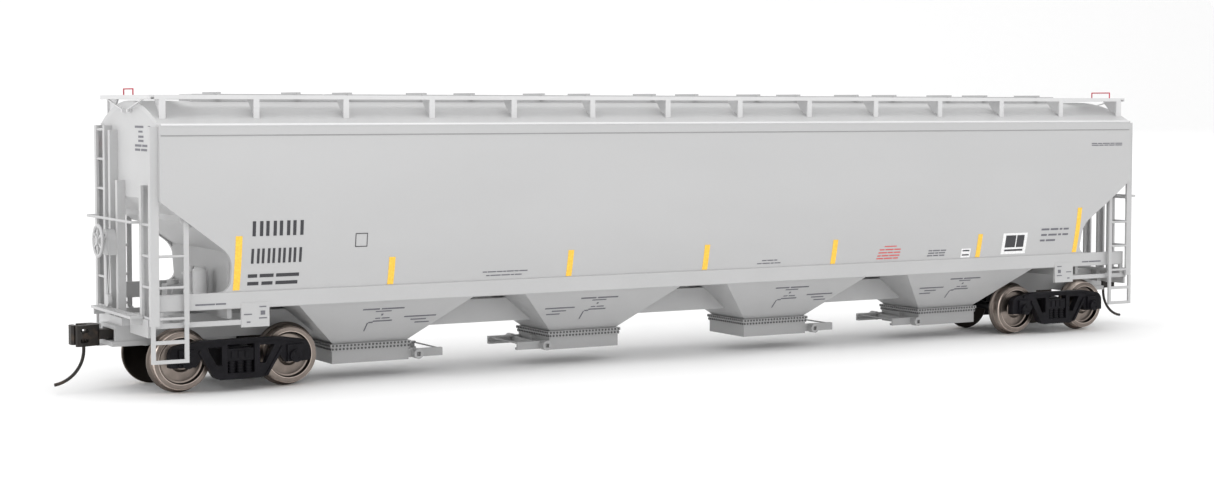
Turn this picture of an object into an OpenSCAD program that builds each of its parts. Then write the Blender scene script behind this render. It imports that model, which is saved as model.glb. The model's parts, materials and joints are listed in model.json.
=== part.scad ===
// Model hopper car: a four-bay, curved-side covered hopper, 1:87 scale.
// X runs along the car, with the brake end (B) at -X and the plain end (A) at +X.
// Y runs across it, left side at +Y. The wheel flanges stand on Z = 0.
// Heights whose names end in _z are measured above the rail head, which is flange_depth above Z = 0.

/* [Body] */
// Length between the outer faces of the two end sheets
body_len = 227.4; // [185:0.2:280]
// Widest point of the curved sides
belly_w = 36.2; // [32:0.1:44]
// Height of that widest point
belly_z = 36.5; // [33:0.1:40]
// Radius of the side sheet above the widest point
upper_r = 120; // [80:1:200]
// Radius of the side sheet below the widest point
lower_r = 72; // [60:1:120]
// Height of the eaves, where the sides meet the roof
eave_z = 47.8; // [44:0.1:58]
// Height of the roof's top line
roof_z = 52; // [49:0.1:63]
// Crown radius of the roof
roof_r = 38; // [30:0.5:60]
// Thickness of the moulded walls
wall = 0.9; // [0.6:0.05:1.4]
// Height of the top chord strip below the eaves
chord_h = 1.85; // [1:0.05:3]
// How far the top chord stands out from the side sheet
chord_t = 0.22; // [0.1:0.02:0.5]
// Thickness of the folded plates and angles
plate_t = 0.5; // [0.3:0.05:0.8]

/* [Side sills and end openings] */
// Top of the side sills
sill_top_z = 17.8; // [16:0.1:20]
// Height of the side sills
sill_h = 3; // [2:0.1:4]
// Half width over the inner faces of the side sills
sill_in_y = 15.1; // [14:0.05:16]
// Thickness of the side sills
sill_d = 0.8; // [0.6:0.05:1.4]
// Height at which the slope sheets leave the end sheets
slope_top_z = 34.6; // [30:0.1:40]
// Gap between a slope sheet's underside and the edge of the side opening below it
opening_lap = 0.35; // [0.1:0.05:1]
// Distance from the truck centre out to the inner end of the side opening
opening_in = 3.1; // [2:0.1:5]
// Radius of the opening's upper inner corner
opening_r = 4.5; // [3:0.1:6]
// Radius of the opening's lower inner corner
opening_r_low = 2; // [1:0.1:3]

/* [Hoppers] */
// Distance from an end sheet to the top corner of the nearest hopper bay
bay_inset = 26.5; // [24:0.1:30]
// Gap between neighbouring bays at the bottom of the side sill
bay_gap = 11.07; // [9:0.01:13]
// Length of a bay at its outlet
outlet_len = 15; // [12:0.1:18]
// Width of a bay at its outlet
outlet_w = 12.7; // [11:0.1:15]
// Height of the outlets
outlet_z = 6.2; // [5.5:0.1:7]
// Overhang of an outlet flange round the bay
flange_lip = 0.75; // [0.5:0.05:1.2]
// Diameter of the gate operating shafts
gate_shaft_d = 1.2; // [0.8:0.1:1.6]
// How far a gate's slide rails reach out past its frame
gate_rail_len = 7.2; // [5:0.1:8]

/* [Centre sill and couplers] */
// Width of the centre sill
centre_sill_w = 5.6; // [4:0.1:6.4]
// Underside of the centre sill
centre_sill_z = 8.4; // [8:0.1:9]
// Top of the centre sill
centre_sill_top_z = 13; // [12:0.1:13.6]
// How far the draft gear boxes stand out past the end sheets
draft_reach = 4.2; // [3:0.1:6]
// Width over a draft gear box
draft_w = 8.8; // [7:0.1:9.4]
// Height of the coupler's centre line
coupler_z = 9.9; // [9.6:0.05:10.2]
// How far the coupler's pulling face stands out past the box
coupler_reach = 6; // [4:0.1:7]

/* [Running gear] */
// Distance from an end sheet to the truck centre
truck_inset = 16.45; // [15:0.05:20]
// Wheel tread diameter
wheel_d = 10.5; // [8.5:0.1:12.6]
// Flange depth below the tread
flange_depth = 0.64; // [0.5:0.01:0.9]
// Distance between the axles of a truck
axle_spacing = 20.4; // [17:0.1:24.5]
// Gap between the backs of the two wheels
back_to_back = 14.4; // [14:0.05:14.6]
// Width of a wheel, flange included
wheel_w = 2.8; // [2.3:0.05:3]
// Axle diameter between the wheels
axle_d = 1.8; // [1.4:0.1:2.4]
// Distance between the inner faces of a truck's side frames
frame_gap = 21.6; // [21:0.1:23]
// Thickness of a side frame
frame_t = 1.6; // [1.2:0.1:2.2]
// Running clearance of a pivot, on the radius
pivot_clearance = 0.06; // [0.02:0.01:0.1]
// Diameter of the truck screws
kingpin_d = 2; // [1.6:0.1:2.6]

/* [Roof] */
// Half width to the outer edge of the running boards
board_out_y = 14.9; // [13:0.1:18]
// Width of a running board
board_w = 5; // [3.5:0.1:6]
// Top of the running boards
board_z = 53; // [50:0.1:64]
// Length of the cross platforms at the roof ends
crossover_len = 7.4; // [5:0.1:9]
// Number of brackets under each running board
bracket_count = 14; // [8:1:20]
// Width of the hatch trough
trough_w = 6.4; // [4:0.1:8]
// Height of the hatch trough above the roof's top line
trough_h = 0.8; // [0.5:0.1:1.5]
// Number of hatch covers in the row
cover_count = 8; // [6:1:12]

/* [Ladders and brake] */
// Height of the lowest rung
rung_z = 13.7; // [12:0.1:15]
// Distance between rungs
rung_step = 5.49; // [4.5:0.01:6.5]
// Diameter of rungs and grab irons
rung_d = 0.5; // [0.3:0.05:0.8]
// Width between the stiles of an end ladder
ladder_w = 5.4; // [4.5:0.1:7]
// Half width to the outer face of the end ladders
ladder_out_y = 17; // [15:0.1:21]
// Depth of the end cage past the end sheet
cage_d = 1.5; // [1.2:0.1:2]
// Diameter of the brake wheel
brake_wheel_d = 6.2; // [5:0.1:8]
// Height of the brake wheel's centre
brake_wheel_z = 26.4; // [24:0.1:30]

/* [Hidden] */

body_half = body_len / 2;
truck_x = body_half - truck_inset;
bay_corner_x = body_half - bay_inset;
bay_pitch = (2 * bay_corner_x + bay_gap) / 4;
bay_half = (bay_pitch - bay_gap) / 2;
sill_low_z = sill_top_z - sill_h;
sill_out_y = sill_in_y + sill_d;
axle_z = wheel_d / 2;
wheel_out_y = back_to_back / 2 + wheel_w;
slope_run = (slope_top_z - sill_low_z) / (body_half - bay_corner_x);
slope_deg = atan(slope_run);
cage_x = body_half + cage_d;
stile = 1.25;

body_grey = [0.80, 0.80, 0.80];
truck_black = [0.16, 0.16, 0.17];
wheel_metal = [0.45, 0.40, 0.36];
rod_metal = [0.62, 0.62, 0.60];
big = 400;

// Height above the rail head
module above_rail(z = 0) { translate([0, 0, flange_depth + z]) children(); }
// The end at +X, as the end at -X turned half round
module end_a() { rotate([0, 0, 180]) children(); }
// An outline drawn in (y, z), run along the car
module along_x(x0, x1) { translate([x0, 0, 0]) rotate([90, 0, 90]) linear_extrude(x1 - x0) children(); }
// An outline drawn in (x, z), run across the car
module across_y(y0, y1) { translate([0, y1, 0]) rotate([90, 0, 0]) linear_extrude(y1 - y0) children(); }
// A box given by its two corners
module block(a, b) { translate(a) cube(b - a); }
// A round bar from a to b
module bar(a, b, d) {
  v = b - a;
  translate(a) rotate([0, acos(v[2] / norm(v)), atan2(v[1], v[0])]) cylinder(d = d, h = norm(v), $fn = 20);
}
function arc(cx, cz, r, from, to, steps = 8) =
  [for (i = [0:steps]) [cx + r * cos(from + (to - from) * i / steps), cz + r * sin(from + (to - from) * i / steps)]];

// Half width of the side sheet's outer face at height z
function side_y(z) = let (r = z > belly_z ? upper_r : lower_r)
  belly_w / 2 - r + sqrt(r * r - (z - belly_z) * (z - belly_z));
// Height of the slope sheet's underside at distance x from the car's middle
function slope_z(x) = slope_top_z - slope_run * (body_half - x);
// Distance from the car's middle at which the slope sheet's underside is at height z
function slope_x(z) = body_half - (slope_top_z - z) / slope_run;
// Height of the roof's outer face at distance y from the centre line
function roof_at(y) = roof_z - roof_r + sqrt(roof_r * roof_r - y * y);

// ---- Shell --------------------------------------------------------------------------------

// Everything inside the side sheets, less t all round, between two heights
module inside_outline(t, low, high) {
  module lens(r) intersection_for (s = [-1, 1])
    translate([s * (belly_w / 2 - r), belly_z]) circle(r - t, $fn = 200);
  intersection() {
    union() {
      intersection() { lens(lower_r); translate([-belly_w, low]) square([2 * belly_w, belly_z - low]); }
      intersection() { lens(upper_r); translate([-belly_w, belly_z]) square([2 * belly_w, high - belly_z]); }
    }
    translate([0, roof_z - roof_r]) circle(roof_r - t, $fn = 200);
  }
}
module side_outline() {
  difference() {
    inside_outline(0, sill_top_z, eave_z);
    inside_outline(wall, sill_top_z - 1, eave_z + 1);
    translate([-belly_w, 0]) square([belly_w, big]);
  }
  translate([side_y(eave_z) - wall / 2, eave_z - chord_h]) square([wall / 2 + chord_t, chord_h]);
}
// The opening below a slope sheet, in (x, z), at the +X end
module opening_outline() {
  x_in = truck_x + opening_in;
  edge = function (x) slope_z(x) - opening_lap;
  up = [x_in + opening_r, edge(x_in + opening_r) - opening_r / cos(slope_deg)];
  low = [x_in + opening_r_low, sill_top_z + opening_r_low];
  far = body_half + 2;
  polygon(concat([[far, sill_top_z - 1], [far, edge(far)]],
                 arc(up[0], up[1], opening_r, 90 + slope_deg, 180),
                 arc(low[0], low[1], opening_r_low, 180, 270), [[x_in + opening_r_low, sill_top_z - 1]]));
}
module side_panel_left() {
  color(body_grey) above_rail() difference() {
    along_x(-body_half, body_half) side_outline();
    for (turn = [0, 1]) mirror([turn, 0, 0]) across_y(5, belly_w) opening_outline();
  }
}
module side_panel_right() { color(body_grey) rotate([0, 0, 180]) side_panel_left(); }

module roof_panel() {
  color(body_grey) above_rail() {
    along_x(-body_half, body_half) difference() {
      translate([0, roof_z - roof_r]) circle(roof_r, $fn = 200);
      translate([0, roof_z - roof_r]) circle(roof_r - wall, $fn = 200);
      translate([-big / 2, eave_z - big]) square([big, big]);
    }
  }
}

module end_bulkhead_b() {
  color(body_grey) above_rail() {
    along_x(-body_half, -body_half + wall) inside_outline(wall, slope_top_z, roof_z);
    intersection() {
      along_x(-body_half, 0) inside_outline(wall, sill_top_z, slope_top_z + 2);
      across_y(-belly_w, belly_w) polygon([
        [-body_half, slope_top_z], [-slope_x(sill_top_z), sill_top_z],
        [-slope_x(sill_top_z) + wall / sin(slope_deg), sill_top_z],
        [-body_half + wall, slope_top_z + wall * tan(slope_deg / 2)], [-body_half, slope_top_z + 1]]);
    }
    // Stiffener across the underside of the slope sheet
    x_s = body_half - 5.2;
    stiffener_y = side_ladder_y - ladder_t;
    intersection() {
      along_x(-body_half, 0) inside_outline(wall, sill_top_z, slope_top_z);
      across_y(-stiffener_y, stiffener_y) polygon([
        [-x_s - 1.3, slope_z(x_s + 1.3)], [-x_s - 1.3, slope_z(x_s + 1.3) - 1],
        [-x_s + 0.4, slope_z(x_s - 0.4) - 1], [-x_s + 1.1, slope_z(x_s - 1.1)]]);
    }
  }
}

module end_bulkhead_a() { end_a() end_bulkhead_b(); }

// ---- Roof ---------------------------------------------------------------------------------

trough_half = body_half - crossover_len - 3;
board_end = body_half - crossover_len;
module hatch_trough() {
  color(body_grey) above_rail() difference() {
    block([-trough_half, -trough_w / 2, roof_at(trough_w / 2) - wall / 2], [trough_half, trough_w / 2, roof_z + trough_h]);
    along_x(-body_half, body_half) translate([0, roof_z - roof_r]) circle(roof_r, $fn = 200);
  }
}
cover_len = 2 * trough_half / cover_count;
cover_t = 0.45;
module hatch_covers() {
  lip = 0.35;
  color(body_grey) above_rail(roof_z + trough_h)
    for (i = [0:cover_count - 1]) translate([(i - (cover_count - 1) / 2) * cover_len, 0, 0])
      across_y(-trough_w / 2 - lip, trough_w / 2 + lip) polygon([
        [-cover_len / 2 + 0.1, 0], [-cover_len / 2 + 0.1, cover_t - 0.15], [-cover_len / 2 + 0.3, cover_t],
        [cover_len / 2 - 0.3, cover_t], [cover_len / 2 - 0.1, cover_t - 0.15], [cover_len / 2 - 0.1, 0]]);
}
module hatch_latches() {
  half = trough_w / 2 + 0.35;
  top = roof_z + trough_h + cover_t;
  color(body_grey) above_rail()
    for (i = [0:cover_count - 1], s = [-1, 1]) translate([(i - (cover_count - 1) / 2) * cover_len + s * cover_len * 0.3, 0, 0])
      difference() {
        block([-0.4, -half - 0.5, top - cover_t - 0.5], [0.4, half + 0.5, top + 0.35]);
        block([-1, -half, 0], [1, half, top]);
      }
}
// Grating: a plate with long slanted slots between two edge strips
module grating(len, w, t, pitch) {
  edge = 0.5;
  count = floor((len - 2 * edge) / pitch);
  difference() {
    block([-len / 2, -w / 2, 0], [len / 2, w / 2, t]);
    for (i = [0:count - 1]) translate([(i - (count - 1) / 2) * pitch, 0, -1])
      linear_extrude(t + 2) polygon([[-pitch * 0.3 - 0.3, -w / 2 + edge], [pitch * 0.3 - 0.3, -w / 2 + edge],
                                     [pitch * 0.3 + 0.3, w / 2 - edge], [-pitch * 0.3 + 0.3, w / 2 - edge]]);
  }
}
board_t = 0.35;
rail_h = 0.75;
bracket_w = 1.1;
function bracket_x(i) = -body_half + 1.4 + i * (2 * body_half - 2.8) / (bracket_count - 1);
module running_board_right() {
  post_x = body_half - 0.5;
  color(body_grey) above_rail() {
    translate([0, -board_out_y + board_w / 2, board_z - board_t]) grating(2 * board_end, board_w, board_t, 3.1);
    // Rail along the outer edge, turned down to the roof at the ladder end
    block([-body_half, -board_out_y - 0.4, board_z - rail_h], [post_x - 1, -board_out_y, board_z]);
    translate([post_x - 1, -board_out_y, board_z - 1]) rotate([90, 0, 0]) intersection() {
      difference() {
        cylinder(r = 1, h = 0.4, $fn = 32);
        translate([0, 0, -1]) cylinder(r = 1 - rail_h, h = 2, $fn = 32);
      }
      translate([0, 0, -1]) cube([2, 2, 3]);
    }
    // Post at the rail's end, and brackets from the board down to the roof
    difference() {
      union() {
        block([post_x - rail_h, -board_out_y - 0.4, eave_z], [post_x, -board_out_y, board_z - 1]);
        for (i = [0:bracket_count - 1]) translate([bracket_x(i), 0, 0]) {
          block([-bracket_w / 2, -board_out_y - 0.4, eave_z], [bracket_w / 2, -board_out_y, board_z - rail_h]);
          translate([bracket_w / 2, 0, 0]) rotate([90, 0, -90]) linear_extrude(0.35)
            polygon([[board_out_y, eave_z], [board_out_y, board_z - board_t], [board_out_y - board_w, board_z - board_t],
                     [board_out_y - board_w, board_z - board_t - 0.3], [board_out_y - 2, eave_z + 1.6]]);
        }
      }
      along_x(-body_half - 1, body_half + 1) translate([0, roof_z - roof_r]) circle(roof_r, $fn = 200);
    }
  }
}
module running_board_left() { rotate([0, 0, 180]) running_board_right(); }

module crossover_platform_b() {
  color(body_grey) above_rail() {
    x0 = -body_half - 0.9;
    x1 = -board_end;
    inner = board_out_y - board_w;
    translate([(x0 + x1) / 2, 0, board_z - board_t]) rotate([0, 0, 90]) grating(2 * board_out_y, x1 - x0, board_t, 1.6);
    block([x0, -board_out_y, board_z - rail_h], [x0 + 0.35, board_out_y, board_z - board_t]);
    // Braces down to the roof end
    foot_y = inner / 6;
    foot_z = roof_at(foot_y) - 1.6;
    for (s = [0, 1]) mirror([0, s, 0]) {
      along_x(x0 + 0.05, x0 + 0.45) polygon([[inner + 0.9, board_z - rail_h + 0.1], [inner + 1.8, board_z - rail_h + 0.1],
                                            [foot_y + 0.4, foot_z], [foot_y - 0.4, foot_z]]);
      block([x0 + 0.05, foot_y - 0.4, foot_z - 0.5], [-body_half, foot_y + 0.4, foot_z]);
    }
  }
}
module crossover_platform_a() { end_a() crossover_platform_b(); }

module grab_iron(w, h, d) {
  bar([-w / 2, 0, 0], [-w / 2, 0, h], d);
  bar([w / 2, 0, 0], [w / 2, 0, h], d);
  bar([-w / 2, 0, h], [w / 2, 0, h], d);
  for (s = [-1, 1]) translate([s * w / 2, 0, h]) sphere(d = d, $fn = 20);
}
module roof_grab_irons() {
  color([0.75, 0.25, 0.3]) above_rail(board_z)
    for (turn = [0, 180]) rotate([0, 0, turn])
      translate([-body_half + crossover_len / 2 - 0.2, board_out_y - 3.2, 0]) rotate([0, 0, 90]) grab_iron(5.8, 1.2, 0.26);
}

// ---- Underframe ---------------------------------------------------------------------------

box_x = body_half + draft_reach;
box_len = 10;
box_floor_z = coupler_z - 2;
box_top_z = coupler_z + 1.7;
draft_in_x = box_x - box_len;
plate_r = 3.3;
plate_h = 0.5;
module centre_sill() {
  half = centre_sill_w / 2;
  color(body_grey) above_rail() {
    difference() {
      block([-draft_in_x, -half, centre_sill_z], [draft_in_x, half, centre_sill_top_z]);
      for (s = [-1, 1]) translate([s * truck_x, 0, centre_sill_z - 1]) cylinder(d = kingpin_d, h = 4, $fn = 40);
    }
    // Centre plates that the trucks turn on
    for (s = [-1, 1]) translate([s * truck_x, 0, centre_sill_z - plate_h]) difference() {
      cylinder(r = plate_r, h = plate_h, $fn = 48);
      translate([0, 0, -1]) cylinder(d = kingpin_d, h = plate_h + 2, $fn = 40);
    }
    // Cover over each draft gear box, up to the end sill
    for (s = [0, 1]) mirror([s, 0, 0])
      block([draft_in_x, -draft_w / 2, box_top_z], [box_x - 1.2, draft_w / 2, centre_sill_top_z]);
  }
}
plate_x0 = truck_x - 4.1;
plate_x1 = truck_x + 1.2;
step_bar_z = sill_low_z - 2.4;
shelf_z = sill_low_z + 0.1;
module side_sill_right() {
  bar_t = 0.6;
  bar_z0 = step_bar_z - 0.5;
  color(body_grey) above_rail() {
    // Band that carries the side sheet, its edges eased
    along_x(-body_half, body_half) polygon([
      [-sill_in_y, sill_low_z], [-sill_out_y + 0.15, sill_low_z], [-sill_out_y, sill_low_z + 0.15],
      [-sill_out_y, sill_top_z - 0.1], [-sill_out_y + 0.1, sill_top_z], [-sill_in_y, sill_top_z]]);
    for (s = [0, 1]) mirror([s, 0, 0]) {
      // Data plate at the bolster, and the step bar from it to the corner
      block([plate_x0, -sill_out_y - 0.1, sill_low_z - 3.4], [plate_x1, -sill_out_y + bar_t - 0.1, sill_low_z + 1]);
      block([plate_x1, -sill_out_y, bar_z0], [cage_x - plate_t, -sill_out_y + bar_t, step_bar_z + 0.4]);
      block([body_half - 0.9, -sill_out_y, step_bar_z], [body_half, -sill_out_y + bar_t, sill_low_z]);
    }
  }
}
module side_sill_left() { color(body_grey) rotate([0, 0, 180]) side_sill_right(); }

module body_bolster(shelf) {
  half = 3.5;
  floor_z = centre_sill_top_z;
  color(body_grey) above_rail() difference() {
    union() {
      intersection() {
        block([-truck_x - half, -belly_w, sill_top_z], [-truck_x + half, belly_w, slope_top_z]);
        along_x(-body_half, 0) inside_outline(wall, sill_top_z, slope_top_z);
        across_y(-belly_w, belly_w) polygon([[-body_half, 0], [0, 0], [-slope_x(0), 0], [-slope_x(slope_top_z), slope_top_z]]);
      }
      block([-truck_x - half, -sill_in_y, floor_z], [-truck_x + half, sill_in_y, sill_top_z]);
      // Shelf for the brake equipment
      if (shelf) block([-truck_x - half - 4.5, -10.4, shelf_z - plate_t], [-truck_x - half, 10.4, shelf_z]);
      // Side bearings
      for (s = [-1, 1]) translate([-truck_x, s * 8.5, floor_z - 1]) cylinder(r = 1, h = 1, $fn = 32);
    }
    // Recess between the front and back webs, at each side
    for (s = [-1, 1]) block([-truck_x - half + plate_t + 0.3, s > 0 ? 6 : -sill_in_y - 1, floor_z - 2] ,
                            [-truck_x + half - plate_t - 0.3, s > 0 ? sill_in_y + 1 : -6, sill_top_z - 1] );
  }
}
module body_bolster_b() { body_bolster(true); }
module body_bolster_a() { end_a() body_bolster(false); }

// ---- Hoppers and gates --------------------------------------------------------------------

bay_rise = sill_low_z - outlet_z;
bay_slope = (bay_half - outlet_len / 2) / bay_rise;
module hopper_bay(i) {
  outer = bay_half + bay_slope * sill_h;
  // The first and last bays end against a slope sheet
  left = i == 0 ? slope_x(sill_top_z) - bay_corner_x + bay_half : outer;
  right = i == 3 ? slope_x(sill_top_z) - bay_corner_x + bay_half : outer;
  color(body_grey) above_rail() translate([(i - 1.5) * bay_pitch, 0, 0]) difference() {
    intersection() {
      across_y(-belly_w, belly_w) polygon([
        [-outlet_len / 2, outlet_z], [outlet_len / 2, outlet_z], [bay_half, sill_low_z], [right, sill_top_z],
        [-left, sill_top_z], [-bay_half, sill_low_z]]);
      along_x(-body_half, body_half) polygon([
        [-outlet_w / 2, outlet_z], [outlet_w / 2, outlet_z], [sill_in_y, sill_low_z - 0.1], [sill_in_y, sill_top_z],
        [-sill_in_y, sill_top_z], [-sill_in_y, sill_low_z - 0.1]]);
    }
    block([-big, -centre_sill_w / 2, centre_sill_z], [big, centre_sill_w / 2, centre_sill_top_z]);
  }
}
module hopper_bay_1() hopper_bay(0);
module hopper_bay_2() hopper_bay(1);
module hopper_bay_3() hopper_bay(2);
module hopper_bay_4() hopper_bay(3);

flange_t = 0.55;
gate_drop = 3.7;
module outlet_gate(i) {
  dir = i % 2 == 0 ? 1 : -1;
  half_l = outlet_len / 2 + flange_lip;
  half_w = outlet_w / 2 + flange_lip;
  frame_l = outlet_len / 2 + 0.35;
  frame_w = outlet_w / 2 + 0.35;
  low = outlet_z - gate_drop;
  rail_end = frame_l + gate_rail_len;
  shaft_x = frame_l + 1.4;
  color(body_grey) above_rail() translate([(i - 1.5) * bay_pitch, 0, 0]) scale([dir, 1, 1]) {
    // Bolting flange, with the frame's own flange under it
    block([-half_l, -half_w, outlet_z - flange_t], [half_l, half_w, outlet_z]);
    block([-half_l + 0.2, -half_w + 0.2, outlet_z - 2 * flange_t - 0.2], [half_l - 0.2, half_w - 0.2, outlet_z - flange_t]);
    difference() {
      block([-frame_l, -frame_w, low], [frame_l, frame_w, outlet_z - flange_t]);
      block([-frame_l + 0.8, -frame_w + 0.8, low - 1], [frame_l - 0.8, frame_w - 0.8, low + 0.9]);
    }
    // Slide rails, closed by a thin rod across their ends
    for (s = [-1, 1]) difference() {
      block([frame_l, s > 0 ? frame_w - 1 : -frame_w, low + 0.35], [rail_end, s > 0 ? frame_w : -frame_w + 1, low + 1.9]);
      block([frame_l - 1, s > 0 ? frame_w - 1.5 : -frame_w + 0.35, low + 0.8],
            [rail_end + 1, s > 0 ? frame_w - 0.35 : -frame_w + 1.5, low + 1.5]);
      translate([shaft_x, 0, low + 1.1]) rotate([90, 0, 0]) cylinder(d = gate_shaft_d, h = 2 * frame_w + 8, center = true, $fn = 28);
    }
    bar([rail_end - 0.3, -frame_w + 0.2, low + 1.65], [rail_end - 0.3, frame_w - 0.2, low + 1.65], 0.3);
    // Operating shaft with a square-socketed capstan at each end
    translate([shaft_x, 0, low + 1.1]) rotate([90, 0, 0]) {
      cylinder(d = gate_shaft_d, h = 2 * frame_w, center = true, $fn = 28);
      for (s = [-1, 1]) translate([0, 0, s * (frame_w + 0.9)]) difference() {
        cylinder(d = gate_shaft_d + 0.7, h = 1.8, center = true, $fn = 28);
        translate([0, 0, s * 0.7]) cube([0.8, 0.8, 1], center = true);
      }
    }
    // Latch on the frame's front face
    block([frame_l, -0.9, outlet_z - 2.3], [frame_l + 0.8, 0.9, outlet_z - 1.3]);
  }
}
module outlet_gate_1() outlet_gate(0);
module outlet_gate_2() outlet_gate(1);
module outlet_gate_3() outlet_gate(2);
module outlet_gate_4() outlet_gate(3);

module steel_weight() {
  color([0.4, 0.4, 0.42]) above_rail(sill_top_z)
    block([-bay_corner_x + 2, -13, 0], [bay_corner_x - 2, 13, 1.6]);
}

// ---- Couplers -----------------------------------------------------------------------------

post_r = 1.1;
shank_t = 1.7;
shank_half = 1.15;
coupler_pivot_x = box_x - 7.2;
face_x = box_x + coupler_reach;
knuckle_x = face_x - 1.3;
knuckle_y = -1.55;
knuckle_pin_d = 0.8;
head_h = 3.8;
ear_t = 0.65;
arm_h = 1;
spring_x = knuckle_x - 0.7;
// Box that holds a coupler: a tray with side walls and a post, closed by the lid under it
module coupler_box_b() {
  half = draft_w / 2;
  t = 0.9;
  color(body_grey) above_rail() end_a() {
    difference() {
      block([draft_in_x, -half, coupler_z - shank_t / 2 - 0.25], [box_x, half, box_top_z]);
      block([draft_in_x + t, -half + t, coupler_z - shank_t / 2 - 1], [box_x + 1, half - t, coupler_z + shank_t / 2 + 0.15]);
    }
    // Post, open inside for the screw
    translate([coupler_pivot_x, 0, coupler_z - shank_t / 2 - 0.25]) difference() {
      cylinder(r = post_r, h = shank_t + 0.4, $fn = 40);
      translate([0, 0, -1]) cylinder(r = 0.6, h = shank_t + 2, $fn = 32);
    }
    // Lid with its flared front lip
    difference() {
      block([draft_in_x, -half - 0.2, box_floor_z], [box_x + 0.6, half + 0.2, coupler_z - shank_t / 2 - 0.25]);
      translate([coupler_pivot_x, 0, box_floor_z - 1]) cylinder(r = 0.6, h = 4, $fn = 32);
    }
  }
}
module coupler_box_a() { end_a() coupler_box_b(); }

// Shank and head; the knuckle hangs on a pin at the side of the head
module coupler_b() {
  z0 = coupler_z - shank_t / 2;
  head_x = box_x + 1.9;
  color(truck_black) above_rail() end_a() difference() {
    union() {
      block([coupler_pivot_x, -shank_half, z0], [knuckle_x - 1, shank_half, z0 + shank_t]);
      translate([coupler_pivot_x, 0, z0]) cylinder(r = post_r + 0.7, h = shank_t, $fn = 40);
      // Head with its guard arm on the side away from the knuckle
      translate([0, 0, coupler_z - head_h / 2]) linear_extrude(head_h) polygon([
        [head_x, -1.2], [head_x + 0.7, -2.2], [knuckle_x - 0.95, -2.3], [knuckle_x - 0.95, -0.55],
        [knuckle_x - 0.6, 0.4], [face_x + 0.1, 1.5], [face_x + 0.5, 2.1], [face_x + 0.3, 2.6], [face_x - 0.6, 2.7],
        [head_x + 0.5, 1.7], [head_x, 1.1]]);
      // Ears that hold the knuckle's pin
      for (z = [coupler_z - head_h / 2, coupler_z + head_h / 2 - ear_t]) {
        translate([knuckle_x, knuckle_y, z]) cylinder(r = 0.75, h = ear_t, $fn = 32);
        block([knuckle_x - 1.2, knuckle_y - 0.75, z], [knuckle_x, knuckle_y + 0.6, z + ear_t]);
      }
      translate([knuckle_x, knuckle_y, coupler_z - head_h / 2]) cylinder(d = knuckle_pin_d, h = head_h, $fn = 32);
      // Lug that the knuckle spring bears on
      block([spring_x - 1, knuckle_y - 1.6, coupler_z - 0.4], [spring_x - 0.55, knuckle_y - 0.6, coupler_z + 0.4]);
    }
    translate([coupler_pivot_x, 0, z0 - 1]) cylinder(r = post_r + pivot_clearance, h = 4, $fn = 40);
    // Windows through the guard arm, above and below its middle rib
    for (z = [coupler_z - arm_h / 2 - 0.75, coupler_z + arm_h / 2 + 0.05])
      block([knuckle_x - 0.5, -1, z], [face_x - 0.3, 4, z + 0.7]);
  }
}
module coupler_a() { end_a() coupler_b(); }

// Knuckle, with the curved trip pin that hangs under it
module knuckle_b() {
  nose_h = head_h - 0.3;
  trip_r = 6.2;
  trip_d = 0.6;
  trip_at = [knuckle_x - 0.35, -0.45];
  drop = 2.2;
  color(truck_black) above_rail() end_a() {
    difference() {
      union() {
        // Arm from the pin to the nose
        translate([0, 0, coupler_z - arm_h / 2]) linear_extrude(arm_h) union() {
          translate([knuckle_x, knuckle_y]) circle(r = 0.8, $fn = 32);
          translate(trip_at) circle(r = 0.45, $fn = 32);
          polygon([[knuckle_x, knuckle_y - 0.8], [face_x + 0.2, knuckle_y - 0.7], [face_x + 0.3, -0.2],
                   [face_x - 0.3, -0.5], [trip_at[0] + 0.45, trip_at[1]], [trip_at[0] - 0.45, trip_at[1]],
                   [knuckle_x - 0.6, knuckle_y + 0.5]]);
        }
        // Nose that hooks into the next car's coupler
        translate([0, 0, coupler_z - nose_h / 2]) linear_extrude(nose_h) polygon([
          [face_x - 0.25, knuckle_y - 0.6], [face_x + 0.35, knuckle_y - 0.55], [face_x + 0.75, knuckle_y],
          [face_x + 0.75, 0.1], [face_x + 0.35, 0.55], [face_x - 0.25, 0.35]]);
      }
      translate([knuckle_x, knuckle_y, coupler_z - 3]) cylinder(d = knuckle_pin_d + 2 * pivot_clearance, h = 6, $fn = 32);
    }
    // Trip pin: down from the arm, then forward in a long curve
    translate([trip_at[0], trip_at[1], coupler_z - arm_h / 2 - drop]) {
      cylinder(d = trip_d, h = drop + 0.2, $fn = 20);
      translate([trip_r, 0, 0]) rotate([90, 0, 0]) rotate([0, 0, 180])
        rotate_extrude(angle = 82, $fn = 64) translate([trip_r, 0]) circle(d = trip_d, $fn = 20);
    }
  }
}
module knuckle_a() { end_a() knuckle_b(); }

// Small coil spring between the head and the knuckle
module knuckle_spring_b() {
  color([0.75, 0.55, 0.3]) above_rail(coupler_z) end_a()
    translate([spring_x, knuckle_y - 1.3, 0]) rotate([0, 90, 0]) difference() {
      cylinder(d = 0.5, h = 1.1, center = true, $fn = 24);
      cylinder(d = 0.28, h = 2, center = true, $fn = 24);
    }
}
module knuckle_spring_a() { end_a() knuckle_spring_b(); }

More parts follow.
